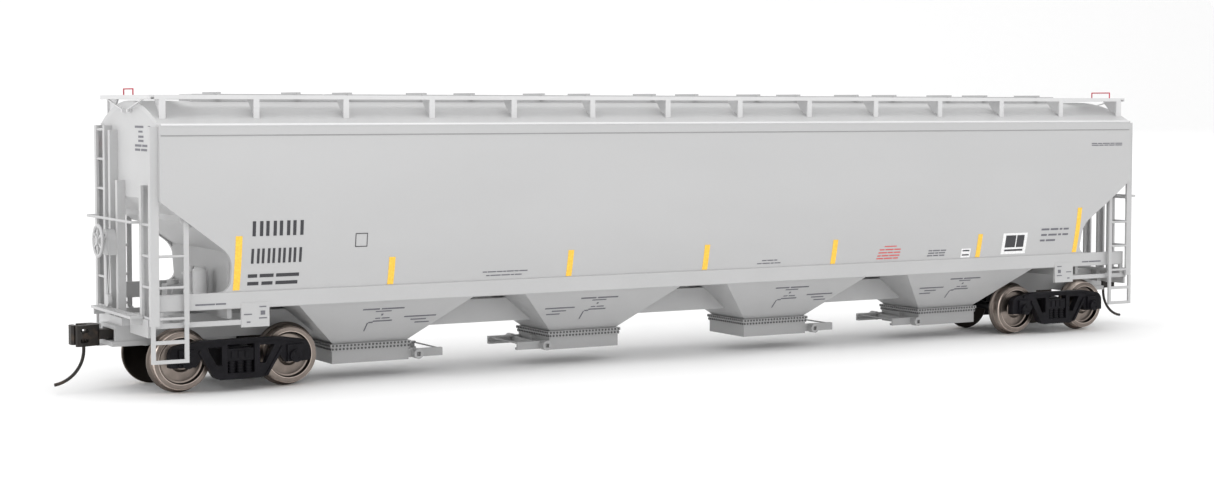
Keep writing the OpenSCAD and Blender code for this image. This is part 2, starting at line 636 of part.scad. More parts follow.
// Kingpin screws up through the truck bolsters, and box screws up through the lids
module screw(d, length, head_d, head_h) {
  difference() {
    translate([0, 0, -head_h]) cylinder(d = head_d, h = head_h, $fn = 40);
    block([-head_d, -0.18, -head_h - 1], [head_d, 0.18, -head_h * 0.6]);
  }
  cylinder(d = d, h = length, $fn = 40);
}
bolster_top_z = centre_sill_z - plate_h - 0.1;
bolster_h = 2.6;
bolster_end_z = bolster_top_z - bolster_h - 0.2;
module fixing_screws() {
  color(rod_metal) above_rail() for (s = [-1, 1]) {
    translate([s * truck_x, 0, bolster_top_z - bolster_h - 0.1])
      screw(kingpin_d, centre_sill_z + 3 - (bolster_top_z - bolster_h - 0.1), 3.6, 0.9);
    translate([s * coupler_pivot_x, 0, box_floor_z]) screw(1.2, shank_t + 1.1, 2.2, 0.5);
  }
}

// ---- End cages, ladders and steps ---------------------------------------------------------

// Angle-section upright against the plane x = -cage_x, its web turned towards the car
module angle_post(y, low, high, turn = 1) {
  block([-cage_x, y - stile / 2, low], [-cage_x + plate_t, y + stile / 2, high]);
  block([-cage_x, turn > 0 ? y - stile / 2 : y + stile / 2 - plate_t, low],
        [-body_half, turn > 0 ? y - stile / 2 + plate_t : y + stile / 2, high]);
}
end_sill_low_z = coupler_z + 0.4;
end_sill_top_z = centre_sill_top_z + 0.5;
module end_cage_b() {
  in_y = ladder_out_y - stile - ladder_w;
  out_y = ladder_out_y - stile / 2;
  top = eave_z - 0.4;
  short_top = slope_top_z + 2.4;
  rung_x = -cage_x + 0.35;
  post_ys = [7.6, 3.2];
  color(body_grey) above_rail() {
    // Full-height ladder at the left corner, short one at the right
    angle_post(out_y, step_bar_z, top, -1);
    angle_post(in_y + stile / 2, end_sill_low_z, top);
    angle_post(-out_y, step_bar_z, top, 1);
    angle_post(-in_y - stile / 2, end_sill_low_z, short_top, -1);
    rungs = floor((top - 0.4 - rung_z) / rung_step);
    for (k = [0:rungs]) bar([rung_x, in_y + 0.3, rung_z + k * rung_step], [rung_x, out_y, rung_z + k * rung_step], rung_d);
    for (k = [0:3]) bar([rung_x, -in_y - 0.3, rung_z + k * rung_step], [rung_x, -out_y, rung_z + k * rung_step], rung_d);
    // Inner posts, which carry the brake gear at the brake end
    angle_post(post_ys[0], end_sill_low_z, eave_z - 1.2);
    angle_post(post_ys[1], centre_sill_top_z, slope_top_z + 2.9);
    // End sill across the foot of the cage, notched over the draft gear box
    difference() {
      union() {
        block([-cage_x, -sill_in_y, end_sill_low_z], [-cage_x + plate_t, sill_in_y, end_sill_top_z]);
        block([-cage_x, -sill_in_y, centre_sill_top_z], [-body_half, sill_in_y, end_sill_top_z]);
      }
      block([-cage_x - 1, -draft_w / 2, 0], [-body_half + 1, draft_w / 2, centre_sill_top_z]);
    }
    // Long handrail, bent back to the corner posts
    hz = rung_z + 3 * rung_step + 0.35;
    rail_x = -cage_x - 1.6;
    rail_ys = [-in_y - stile / 2, out_y - 0.2];
    bar([rail_x, rail_ys[0], hz], [rail_x, rail_ys[1], hz], rung_d);
    for (y = rail_ys) {
      bar([rail_x, y, hz], [-cage_x + 0.1, y, hz], rung_d);
      translate([rail_x, y, hz]) sphere(d = rung_d, $fn = 20);
    }
  }
}
// The plain end's cage is the same moulding
module end_cage_a() { end_a() end_cage_b(); }
side_ladder_y = ladder_out_y + 0.1;
ladder_t = 0.45;
side_stile_x = body_half - 4.9;
module side_ladder() {
  half = 0.45;
  in_y = -side_ladder_y + ladder_t;
  edge = function (x) slope_z(x) - opening_lap;
  color(body_grey) above_rail() {
    // Inner stile, from the step bar up to the edge of the side opening; the corner post is the outer one
    across_y(-side_ladder_y, in_y) polygon([
      [side_stile_x - half, step_bar_z], [side_stile_x + half, step_bar_z],
      [side_stile_x + half, edge(side_stile_x + half)], [side_stile_x - half, edge(side_stile_x - half)]]);
    block([side_stile_x - half, in_y, step_bar_z], [side_stile_x + half, -sill_out_y, step_bar_z + 0.6]);
    for (k = [0:2]) bar([side_stile_x, in_y - ladder_t / 2, rung_z + k * rung_step],
                        [body_half, in_y - ladder_t / 2, rung_z + k * rung_step], rung_d);
  }
}
module side_ladders() {
  side_ladder();
  mirror([1, 0, 0]) side_ladder();
  mirror([0, 1, 0]) side_ladder();
  rotate([0, 0, 180]) side_ladder();
}
module stirrup() {
  drop = 6.6;
  w = 0.75;
  x0 = side_stile_x;
  x1 = cage_x - w / 2;
  y = -side_ladder_y + 0.25;
  color(body_grey) above_rail(step_bar_z) {
    for (x = [x0, x1]) block([x - w / 2, y - 0.2, -drop], [x + w / 2, y + 0.25, 0]);
    for (z = [-drop, -drop * 0.48]) block([x0 - w / 2, y - 0.2, z], [x1 + w / 2, y + 0.25, z + 0.65]);
  }
}
module stirrup_steps() {
  stirrup();
  mirror([1, 0, 0]) stirrup();
  mirror([0, 1, 0]) stirrup();
  rotate([0, 0, 180]) stirrup();
}

// ---- Brake gear ---------------------------------------------------------------------------

gear_y = 5.4;
module brake_platform() {
  color(body_grey) above_rail() {
    translate([-cage_x - 1.2, 0, step_bar_z + 1.1]) rotate([0, 0, 90]) grating(24.6, 2.3, 0.5, 1.9);
    for (y = [-11.5, 11.5]) block([-cage_x - 2, y - 0.25, step_bar_z], [-cage_x, y + 0.25, step_bar_z + 1.1]);
    block([-box_x + 1.2, -0.25, centre_sill_top_z], [-cage_x, 0.25, step_bar_z + 1.1]);
  }
}
module brake_gear_box() {
  color(body_grey) above_rail() {
    along_x(-cage_x - 1.6, -cage_x) difference() {
      union() {
        translate([gear_y, brake_wheel_z]) circle(d = 4.2, $fn = 48);
        translate([gear_y - 2.1, brake_wheel_z - 2.6]) square([4.2, 2.6]);
      }
      translate([gear_y, brake_wheel_z + 1]) circle(d = 0.5, $fn = 24);
    }
    translate([-cage_x - 3.2, gear_y, brake_wheel_z]) rotate([0, 90, 0]) cylinder(d = 0.9, h = 1.6, $fn = 24);
  }
}
module brake_wheel() {
  x = -cage_x - 2.8;
  rim = 0.3;
  color(body_grey) above_rail() translate([x, gear_y, brake_wheel_z]) rotate([0, -90, 0]) difference() {
    union() {
      rotate_extrude($fn = 64) translate([brake_wheel_d / 2 - rim, 0]) circle(r = rim, $fn = 20);
      translate([0, 0, -0.3]) cylinder(d = 1.7, h = 0.75, $fn = 32);
      for (a = [0:60:300]) rotate([0, 0, a]) block([0.5, -0.2, -0.15], [brake_wheel_d / 2 - rim, 0.2, 0.15]);
    }
    translate([0, 0, -1]) cylinder(d = 0.9, h = 3, $fn = 24);
  }
}
module brake_rigging() {
  color(body_grey) above_rail() {
    bar([-cage_x - 0.9, gear_y + 1.3, brake_wheel_z - 2.6], [-cage_x - 0.9, gear_y + 1.3, step_bar_z + 2.6], 0.4);
    bar([-cage_x - 0.9, gear_y - 1.2, brake_wheel_z - 2.6], [-cage_x - 0.9, gear_y + 0.9, step_bar_z + 3.6], 0.3);
    translate([-cage_x - 1.3, gear_y + 0.3, step_bar_z + 3]) rotate([0, 90, 0]) cylinder(d = 2.4, h = 0.7, $fn = 32);
  }
}
module air_reservoir() {
  d = 2.6;
  dome = 0.5;
  color(body_grey) above_rail(shelf_z) translate([-truck_x - 6.2, -8.2, 0]) {
    cylinder(d1 = d - 0.8, d2 = d, h = dome, $fn = 40);
    translate([0, 0, dome]) cylinder(d = d, h = 6, $fn = 40);
    translate([0, 0, dome + 6]) cylinder(d1 = d, d2 = d - 0.8, h = dome, $fn = 40);
  }
}
module brake_cylinder() {
  body_h = 5.5;
  color(body_grey) above_rail(shelf_z) translate([-truck_x - 6.2, -3.6, 0]) {
    cylinder(d = 3, h = body_h, $fn = 40);
    translate([0, 0, body_h]) cylinder(d = 3.6, h = 0.4, $fn = 40);
    translate([0, 0, body_h + 0.4]) cylinder(d = 1, h = 1, $fn = 24);
  }
}
module control_valve() {
  w = 3.2;
  h = 2.8;
  color(body_grey) above_rail(shelf_z) translate([-truck_x - 6, 8, 0]) {
    block([-w / 2, -w / 2, 0], [w / 2, w / 2, h]);
    translate([0, 0, h]) cylinder(d = 2.2, h = 0.8, $fn = 32);
    for (s = [-1, 1]) translate([0, s * w / 2, h / 2]) rotate([90, 0, 0]) cylinder(d = 1.6, h = 1.6, center = true, $fn = 28);
  }
}

// ---- Trucks -------------------------------------------------------------------------------

frame_in = frame_gap / 2;
axle_half = axle_spacing / 2;
socket_clearance = 0.05;
axle_end_y = frame_in + 0.9;
module truck_bolster() {
  half = 2.6;
  end_y = frame_in + frame_t - 0.2;
  color(truck_black) difference() {
    union() {
      translate([0, 0, 0]) block([-half, -6.5, bolster_top_z - bolster_h], [half, 6.5, bolster_top_z]);
      // Arms that drop from the centre to the spring seats
      rotate([90, 0, 90]) translate([0, 0, -2.2]) linear_extrude(4.4) for (s = [0, 1]) mirror([s, 0]) polygon([
        [6.4, bolster_top_z], [frame_in, bolster_top_z - 0.4], [frame_in, bolster_top_z - bolster_h + 0.2],
        [6.4, bolster_top_z - bolster_h]]);
      for (s = [-1, 1]) {
        block([-2.45, s > 0 ? frame_in : -end_y, bolster_end_z],
              [2.45, s > 0 ? end_y : -frame_in, bolster_top_z - 0.6]);
        // Raised pads on the bolster's end
        for (x = [-1.3, 0, 1.3]) block([x - 0.5, s > 0 ? end_y : -end_y - 0.2, bolster_end_z + 0.5],
                                       [x + 0.5, s > 0 ? end_y + 0.2 : -end_y, bolster_top_z - 1]);
        translate([0, s * 8.5, bolster_top_z - 0.3]) cylinder(r = 1.1, h = 0.6, $fn = 32);
      }
    }
    translate([0, 0, 0]) cylinder(r = kingpin_d / 2 + pivot_clearance, h = big, $fn = 40);
  }
}
// Outline of a side frame in (x, z): arched top chord, sloping tension members, window and triangles
module frame_outline() {
  top = axle_z + 3.7;
  box_w = 1.75;
  low = 2;
  difference() {
    polygon(concat(
      arc(-axle_half - 1.2, axle_z + 1.2, 1.9, 180, 110, 5), [[-axle_half + 2.5, top], [axle_half - 2.5, top]],
      arc(axle_half + 1.2, axle_z + 1.2, 1.9, 70, 0, 5), [[axle_half + 3.1, axle_z - 0.9],
      [axle_half - box_w, axle_z - 1], [axle_half - 2.9, axle_z + 0.6], [4.9, low], [3.9, low - 0.35],
      [-3.9, low - 0.35], [-4.9, low], [-axle_half + 2.9, axle_z + 0.6], [-axle_half + box_w, axle_z - 1],
      [-axle_half - 3.1, axle_z - 0.9]]));
    // Bolster and spring window
    translate([-2.55, low + 0.8]) square([5.1, top - 0.95 - (low + 0.8)]);
    // Triangular openings
    for (s = [0, 1]) mirror([s, 0]) polygon([[3.6, top - 1.3], [axle_half - 3.8, top - 1.3], [4.6, low + 2.3], [3.6, low + 2.3]]);
  }
}
module spring_group() {
  seat = 2.8;
  height = bolster_end_z - seat;
  for (x = [-1.6, 0, 1.6]) translate([x, 0, seat]) {
    for (k = [0:3]) translate([0, 0, (k + 0.5) * height / 4]) rotate_extrude($fn = 32)
      translate([0.55, 0]) square([0.3, height * 0.13], center = true);
    cylinder(d = 1.05, h = height, $fn = 28);
  }
}
module side_frame() {
  mid_y = -frame_in - frame_t / 2;
  color(truck_black) {
    difference() {
      union() {
        across_y(-frame_in - frame_t, -frame_in) frame_outline();
        // Top chord flange, and ribs along the sloping members
        across_y(-frame_in - frame_t - 0.35, -frame_in) polygon([
          [-axle_half + 2.5, axle_z + 3.7], [axle_half - 2.5, axle_z + 3.7], [axle_half, axle_z + 3.05],
          [axle_half, axle_z + 2.7], [axle_half - 2.6, axle_z + 3.2], [-axle_half + 2.6, axle_z + 3.2],
          [-axle_half, axle_z + 2.7], [-axle_half, axle_z + 3.05]]);
        across_y(-frame_in - frame_t - 0.3, -frame_in) for (s = [0, 1]) mirror([s, 0]) polygon([
          [4.5, 2.1], [5, 2.1], [axle_half - 2.2, axle_z + 1.6], [axle_half - 2.5, axle_z + 2]]);
        for (s = [-1, 1]) {
          // Bearing adapter and end cap over the axle's end
          block([s * axle_half - 1.5, -frame_in - frame_t - 0.5, axle_z - 0.9], [s * axle_half + 1.5, -frame_in, axle_z + 2.2]);
          translate([s * axle_half, -frame_in - frame_t - 0.5, axle_z + 0.1]) rotate([90, 0, 0]) {
            cylinder(d = 2.3, h = 0.7, $fn = 40);
            for (a = [90, 210, 330]) rotate([0, 0, a]) translate([0.7, 0, 0.7]) cylinder(d = 0.4, h = 0.15, $fn = 16);
          }
        }
      }
      // Socket that the axle's end turns in
      for (s = [-1, 1]) translate([s * axle_half, -frame_in + 1, axle_z]) rotate([90, 0, 0])
        cylinder(r = 0.5 + socket_clearance, h = 1 + axle_end_y - frame_in + 0.1, $fn = 32);
    }
    translate([0, mid_y, 0]) spring_group();
  }
}
module side_frames() {
  side_frame();
  rotate([0, 0, 180]) side_frame();
}
module truck_bolster_b() { above_rail() translate([-truck_x, 0, 0]) truck_bolster(); }
module truck_bolster_a() { above_rail() translate([truck_x, 0, 0]) truck_bolster(); }
module side_frames_b() { above_rail() translate([-truck_x, 0, 0]) side_frames(); }
module side_frames_a() { above_rail() translate([truck_x, 0, 0]) side_frames(); }

// ---- Wheelsets ----------------------------------------------------------------------------

module axle() {
  color([0.12, 0.12, 0.13]) rotate([90, 0, 0]) {
    cylinder(d = axle_d, h = 2 * wheel_out_y + 0.3, center = true, $fn = 40);
    cylinder(r = 0.5, h = 2 * axle_end_y, center = true, $fn = 32);
  }
}
// Wheel profile in (radius, distance out from the back face)
module wheel() {
  r = wheel_d / 2;
  fl = r + flange_depth;
  hub = axle_d / 2;
  color(wheel_metal) rotate([90, 0, 0]) rotate_extrude($fn = 96) polygon(concat(
    [[hub, 0], [r - 0.9, 0], [fl - 0.35, 0]], arc(fl - 0.32, 0.32, 0.32, -60, 75, 5),
    arc(r + 0.35, 1.05, 0.35, 250, 180, 4), [[r, wheel_w - 0.2], [r - 0.2, wheel_w], [r - 1.05, wheel_w],
    [r - 1.2, wheel_w - 0.9], [r - 1.5, wheel_w - 1], [hub + 1.2, wheel_w - 0.7], [hub + 0.6, wheel_w], [hub, wheel_w]]));
}
module wheel_pair() {
  translate([0, -back_to_back / 2, 0]) wheel();
  rotate([0, 0, 180]) translate([0, -back_to_back / 2, 0]) wheel();
}
function axle_x(i) = (i < 2 ? -truck_x : truck_x) + (i % 2 == 0 ? -axle_half : axle_half);
module at_axle(i) { above_rail(axle_z) translate([axle_x(i), 0, 0]) children(); }
module axle_1() at_axle(0) axle();
module axle_2() at_axle(1) axle();
module axle_3() at_axle(2) axle();
module axle_4() at_axle(3) axle();
module wheels_1() at_axle(0) wheel_pair();
module wheels_2() at_axle(1) wheel_pair();
module wheels_3() at_axle(2) wheel_pair();
module wheels_4() at_axle(3) wheel_pair();

roof_panel();
side_panel_left();
side_panel_right();
end_bulkhead_b();
end_bulkhead_a();
hatch_trough();
hatch_covers();
hatch_latches();
running_board_left();
running_board_right();
crossover_platform_b();
crossover_platform_a();
roof_grab_irons();
centre_sill();
side_sill_left();
side_sill_right();
body_bolster_b();
body_bolster_a();
hopper_bay_1();
hopper_bay_2();
hopper_bay_3();
hopper_bay_4();
outlet_gate_1();
outlet_gate_2();
outlet_gate_3();
outlet_gate_4();
coupler_box_b();
coupler_box_a();
fixing_screws();
steel_weight();
end_cage_b();
end_cage_a();
side_ladders();
stirrup_steps();
brake_platform();
brake_wheel();
brake_gear_box();
brake_rigging();
air_reservoir();
brake_cylinder();
control_valve();
truck_bolster_b();
truck_bolster_a();
side_frames_b();
side_frames_a();
axle_1();
axle_2();
axle_3();
axle_4();
wheels_1();
wheels_2();
wheels_3();
wheels_4();
coupler_b();
coupler_a();
knuckle_b();
knuckle_a();
knuckle_spring_b();
knuckle_spring_a();
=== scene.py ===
"""Finishes, markings, fasteners and stage for a model hopper car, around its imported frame."""
import json
import math

import bpy
from bpy.props import FloatProperty, FloatVectorProperty, PointerProperty
from mathutils import Matrix, Vector


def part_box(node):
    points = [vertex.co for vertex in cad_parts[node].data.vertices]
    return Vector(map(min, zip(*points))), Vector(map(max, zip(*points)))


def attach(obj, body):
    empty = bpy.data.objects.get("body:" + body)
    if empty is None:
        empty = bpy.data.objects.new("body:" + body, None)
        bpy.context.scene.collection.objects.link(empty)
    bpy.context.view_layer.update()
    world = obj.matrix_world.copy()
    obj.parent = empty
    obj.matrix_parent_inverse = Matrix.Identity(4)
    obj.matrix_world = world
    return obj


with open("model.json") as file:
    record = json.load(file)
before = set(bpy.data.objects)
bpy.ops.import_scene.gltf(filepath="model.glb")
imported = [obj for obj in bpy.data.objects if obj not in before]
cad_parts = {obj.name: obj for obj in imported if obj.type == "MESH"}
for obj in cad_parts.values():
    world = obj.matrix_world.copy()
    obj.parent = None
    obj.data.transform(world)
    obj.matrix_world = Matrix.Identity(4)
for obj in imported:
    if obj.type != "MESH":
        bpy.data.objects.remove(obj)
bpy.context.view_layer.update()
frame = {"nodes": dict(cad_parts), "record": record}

bl_info = {
    "name": "Model Hopper Car",
    "version": (1, 0, 0),
    "blender": (4, 5, 0),
    "location": "View3D > Sidebar > Hopper Car",
    "description": "Finishes and fine detail for a curved-side covered hopper",
    "category": "Object",
}

MM = 0.001
# Flat patches are made out beside the car, pressed on from there, and thickened into ink or tape
BESIDE = 22 * MM
REACH = 18 * MM
LIFT = 0.035 * MM
FILM = 0.03 * MM
NODES = frame["nodes"]
BODY = "car_body"
RAIL = next(m for m in frame["record"]["mounts"] if m["name"] == "track_gauge")["pos_m"][2]
SIDES = {"right": -1, "left": 1}
BAYS = (1, 2, 3, 4)
SLOTS = {part["node"]: part["material_slot"] for part in frame["record"]["subparts"]}


def corners(node):
    """Lowest and highest corner of a CAD node, as vectors."""
    low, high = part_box(node)
    return Vector(low), Vector(high)


def middle(node):
    low, high = corners(node)
    return (low + high) / 2


# ---- Shader maths ---------------------------------------------------------------------------


class Wire:
    """A shader socket that takes part in sums; each operation adds its Math node."""

    def __init__(self, finish, socket):
        self.finish = finish
        self.socket = socket

    def __add__(self, other):
        return self.finish.maths("ADD", self, other)

    def __radd__(self, other):
        return self.finish.maths("ADD", other, self)

    def __sub__(self, other):
        return self.finish.maths("SUBTRACT", self, other)

    def __rsub__(self, other):
        return self.finish.maths("SUBTRACT", other, self)

    def __mul__(self, other):
        return self.finish.maths("MULTIPLY", self, other)

    def __truediv__(self, other):
        return self.finish.maths("DIVIDE", self, other)

    def __pow__(self, other):
        return self.finish.maths("POWER", self, other)


class Finish:
    """A material whose nodes are added by calls."""

    def __init__(self, name, roughness, metallic=0.0):
        self.material = bpy.data.materials.new(name)
        self.material.use_nodes = True
        self.tree = self.material.node_tree
        self.shader = self.tree.nodes["Principled BSDF"]
        self.set("Roughness", roughness)
        self.set("Metallic", metallic)

    def node(self, kind, settings=None, sockets=None, output=0):
        """Adds a node: its settings first, then the values or links of its sockets."""
        made = self.tree.nodes.new(kind)
        for key, value in (settings or {}).items():
            setattr(made, key, value)
        for key, value in (sockets or {}).items():
            if isinstance(value, Wire):
                self.tree.links.new(value.socket, made.inputs[key])
            else:
                made.inputs[key].default_value = value
        return Wire(self, made.outputs[output])

    def set(self, name, value):
        socket = self.shader.inputs[name]
        if isinstance(value, Wire):
            self.tree.links.new(value.socket, socket)
        elif name == "Base Color":
            socket.default_value = (*value, 1)
        else:
            socket.default_value = value

    def place(self, shift=(0, 0, 0), stretch=(1, 1, 1)):
        coords = self.node("ShaderNodeTexCoord", output="Object")
        return self.node("ShaderNodeMapping", None, {"Vector": coords, "Location": shift, "Scale": stretch})

    def noise(self, size, detail, place=None):
        """Noise whose features are about size metres across."""
        return self.node("ShaderNodeTexNoise", None,
                         {"Vector": place or self.place(), "Scale": 1 / size, "Detail": detail})

    def axis(self, letter, place):
        return self.node("ShaderNodeSeparateXYZ", None, {"Vector": place}, output=letter)

    def mix(self, factor, a, b):
        """A blend of two colours; the colour mix has its factor at socket 0 and its colours at 6 and 7."""
        a, b = (c if isinstance(c, Wire) else (*c, 1) for c in (a, b))
        return self.node("ShaderNodeMix", {"data_type": "RGBA"}, {0: factor, 6: a, 7: b}, output=2)

    def relief(self, height, depth, strength):
        """Bump whose full height is depth metres."""
        self.set("Normal", self.node("ShaderNodeBump", None,
                                     {"Height": height, "Distance": depth, "Strength": strength}))

    def maths(self, operation, *values):
        return self.node("ShaderNodeMath", {"operation": operation}, dict(enumerate(values)))

    def smooth(self, value, low, high):
        """0 below low, 1 above high, with a soft step between."""
        return self.node("ShaderNodeMapRange", {"interpolation_type": "SMOOTHSTEP"},
                         {"Value": value, "From Min": low, "From Max": high})


def tinted(colour, factor):
    return tuple(min(1.0, c * factor) for c in colour)


# ---- Finishes -------------------------------------------------------------------------------


def grey_paint(name, colour):
    """Satin paint: a little uneven in tone, with a fine sprayed grain."""
    satin = 0.42
    paint = Finish(name, satin)
    cloud = paint.noise(14 * MM, 3)
    speck = paint.noise(0.5 * MM, 2)
    tone = paint.smooth(cloud * 0.75 + speck * 0.25, 0.3, 0.7)
    paint.set("Base Color", paint.mix(tone, tinted(colour, 0.975), tinted(colour, 1.02)))
    spray = paint.noise(0.16 * MM, 2)
    paint.set("Roughness", satin - 0.04 + spray * 0.08)
    paint.relief(spray, 0.006 * MM, 0.5)
    return paint.material


def sheet_paint(name, colour):
    """Paint of the long side sheets: the tone drifts along the car, with faint vertical weld seams."""
    paint = Finish(name, 0.4)
    place = paint.place()
    cloud = paint.noise(1, 3, paint.place(stretch=(22, 60, 60)))
    speck = paint.noise(0.5 * MM, 2, place)
    tone = paint.smooth(cloud * 0.8 + speck * 0.2, 0.3, 0.7)
    paint.set("Base Color", paint.mix(tone, tinted(colour, 0.98), tinted(colour, 1.015)))
    spray = paint.noise(0.18 * MM, 2, place)
    paint.set("Roughness", 0.36 + spray * 0.08)
    along = paint.axis("X", place)
    pitch = 27.7 * MM
    phase = paint.maths("FRACT", along / pitch + 20.5)
    seam = 1 - paint.smooth(paint.maths("ABSOLUTE", phase - 0.5), 0.0, 0.006)
    paint.relief(spray * 0.12 + seam * 0.5, 0.02 * MM, 0.4)
    return paint.material


def moulded_black(name, colour):
    """Black moulded acetal: soft sheen, mottled in tone and gloss."""
    plastic = Finish(name, 0.42)
    plastic.set("Specular IOR Level", 0.12)
    mottle = plastic.noise(2.2 * MM, 4)
    speck = plastic.noise(0.25 * MM, 3)
    tone = plastic.smooth(mottle * 0.6 + speck * 0.4, 0.35, 0.65)
    plastic.set("Base Color", plastic.mix(tone, tinted(colour, 0.7), tinted(colour, 1.35)))
    plastic.set("Roughness", 0.34 + speck * 0.2)
    plastic.relief(speck, 0.02 * MM, 0.5)
    return plastic.material


def cast_black(name, colour):
    """Chemically blackened die casting: rougher than plastic, with warmer patches."""
    metal = Finish(name, 0.5, metallic=0.2)
    metal.set("Specular IOR Level", 0.3)
    pit = metal.noise(0.22 * MM, 4)
    patch = metal.noise(1.4 * MM, 2)
    warm = (colour[0] * 2.1, colour[1] * 1.7, colour[2] * 1.4)
    metal.set("Base Color", metal.mix(metal.smooth(patch, 0.45, 0.75), tinted(colour, 0.8), warm))
    metal.set("Roughness", 0.4 + pit * 0.25)
    metal.relief(pit, 0.03 * MM, 0.6)
    return metal.material


def turned_wheel(name, centre, tread, back, colour):
    """Darkened nickel: a turned rim with painted highlights on its edges, painted shade in its groove, a
    brown web and a nearly black back.
    """
    metal = Finish(name, 0.3, metallic=1.0)
    place = metal.place(shift=tuple(-c for c in centre))
    x, y, z = (metal.axis(letter, place) for letter in "XYZ")
    radius = (x * x + z * z) ** 0.5

    def band(at, half, soft):
        """1 within half of a radius, falling to 0."""
        return 1 - metal.smooth(metal.maths("ABSOLUTE", radius - at), half, half + soft)

    rim = metal.smooth(radius, tread - 1.05 * MM, tread - 0.95 * MM)
    flange = metal.smooth(radius, tread + 0.05 * MM, tread + 0.12 * MM)
    stain = metal.noise(1.6 * MM, 4, place)
    web = metal.mix(stain, tinted(colour, 0.32), tinted(colour, 0.8))
    face = metal.mix(stain, tinted(colour, 0.36), tinted(colour, 0.6))
    base = metal.mix(flange, metal.mix(rim, web, face), tinted(colour, 0.3))
    # Painted highlights: a bright ring at the rim's outer edge and a fainter one at its inner edge
    base = metal.mix(band(tread - 0.05 * MM, 0.05 * MM, 0.05 * MM), base, tinted(colour, 1.5))
    base = metal.mix(band(tread - 0.93 * MM, 0.03 * MM, 0.04 * MM), base, tinted(colour, 1.2))
    # Painted shade: a nearly black ring in the groove between rim and web
    base = metal.mix(band(tread - 1.12 * MM, 0.07 * MM, 0.06 * MM), base, tinted(colour, 0.03))
    inward = 1 - metal.smooth(metal.maths("ABSOLUTE", y), back + 0.03 * MM, back + 0.15 * MM)
    metal.set("Base Color", metal.mix(inward, base, tinted(colour, 0.06)))
    ring = metal.maths("SINE", radius * (2 * math.pi / (0.12 * MM)))
    metal.set("Roughness", 0.3 - rim * 0.06 + stain * 0.12)
    metal.relief(ring * 0.3 + stain * 0.5, 0.006 * MM, 0.5)
    return metal.material


def drawn_metal(name, colour, roughness):
    """Plain wire, rod or screw metal with fine scratches."""
    metal = Finish(name, roughness, metallic=1.0)
    scratch = metal.noise(1, 3, metal.place(stretch=(900, 5200, 5200)))
    metal.set("Base Color", metal.mix(scratch, tinted(colour, 0.8), tinted(colour, 1.15)))
    metal.set("Roughness", roughness - 0.08 + scratch * 0.16)
    metal.relief(scratch, 0.01 * MM, 0.4)
    return metal.material


def printed_ink(name, colour, roughness=0.5):
    """Printed ink, tape or the paint on thin wire, a little uneven in tone."""
    ink = Finish(name, roughness)
    thin = ink.noise(0.35 * MM, 3)
    ink.set("Base Color", ink.mix(ink.smooth(thin, 0.3, 0.7), tinted(colour, 0.9), tinted(colour, 1.08)))
    ink.set("Roughness", roughness - 0.05 + thin * 0.1)
    ink.relief(thin, 0.004 * MM, 0.4)
    return ink.material


def pale_floor(name, colour):
    """Matt studio sweep with the faintest mottle."""
    paper = Finish(name, 0.85)
    grain = paper.noise(30 * MM, 3)
    paper.set("Base Color", paper.mix(grain, tinted(colour, 0.99), tinted(colour, 1.0)))
    return paper.material


# ---- Modelling helpers ----------------------------------------------------------------------


def deselect():
    if bpy.context.object and bpy.context.object.mode != "OBJECT":
        bpy.ops.object.mode_set(mode="OBJECT")
    bpy.ops.object.select_all(action="DESELECT")


def active(piece):
    deselect()
    piece.select_set(True)
    bpy.context.view_layer.objects.active = piece
    return piece


def begin(name):
    """Leaves a new mesh piece in edit mode at the origin, with nothing in it."""
    deselect()
    bpy.ops.mesh.primitive_plane_add(size=MM, location=(0, 0, 0))
    piece = bpy.context.object
    piece.name = piece.data.name = name
    bpy.ops.object.mode_set(mode="EDIT")
    bpy.ops.mesh.delete(type="VERT")
    return piece


def end():
    bpy.ops.object.mode_set(mode="OBJECT")
    return bpy.context.object


def apply(piece, kind, **settings):
    """Adds a modifier with these settings and applies it."""
    active(piece)
    modifier = piece.modifiers.new(kind.title(), kind)
    for key, value in settings.items():
        setattr(modifier, key, value)
    bpy.ops.object.modifier_apply(modifier=modifier.name)
    return piece


def finished(piece, body, material):
    """Settles a piece: its place in its mesh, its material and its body."""
    active(piece)
    bpy.ops.object.transform_apply(location=True, rotation=True, scale=True)
    piece.data.materials.clear()
    piece.data.materials.append(material)
    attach(piece, body)
    return piece


def upright_patch(x, z, width, height, side):
    """Adds a flat rectangle to the piece in edit mode, out beside the car and facing it."""
    out = Vector((x, side * BESIDE, z))
    bpy.ops.mesh.primitive_plane_add(size=MM, location=out, rotation=(math.pi / 2, 0, 0))
    bpy.ops.transform.resize(value=(width / MM, 1, height / MM), center_override=out)


def lay_on(piece, target, side, cuts, thickness=FILM):
    """Presses flat patches onto the car's side and gives them the thickness of ink or tape."""
    active(piece)
    bpy.ops.object.mode_set(mode="EDIT")
    bpy.ops.mesh.select_all(action="SELECT")
    if cuts:
        bpy.ops.mesh.subdivide(number_cuts=cuts)
    bpy.ops.object.mode_set(mode="OBJECT")
    apply(piece, "SHRINKWRAP", wrap_method="PROJECT", use_project_y=True, use_negative_direction=side > 0,
          use_positive_direction=side < 0, target=NODES[target], offset=LIFT, wrap_mode="ABOVE_SURFACE",
          project_limit=REACH)
    apply(piece, "SOLIDIFY", thickness=thickness, offset=0)
    return piece


# ---- Settings -------------------------------------------------------------------------------


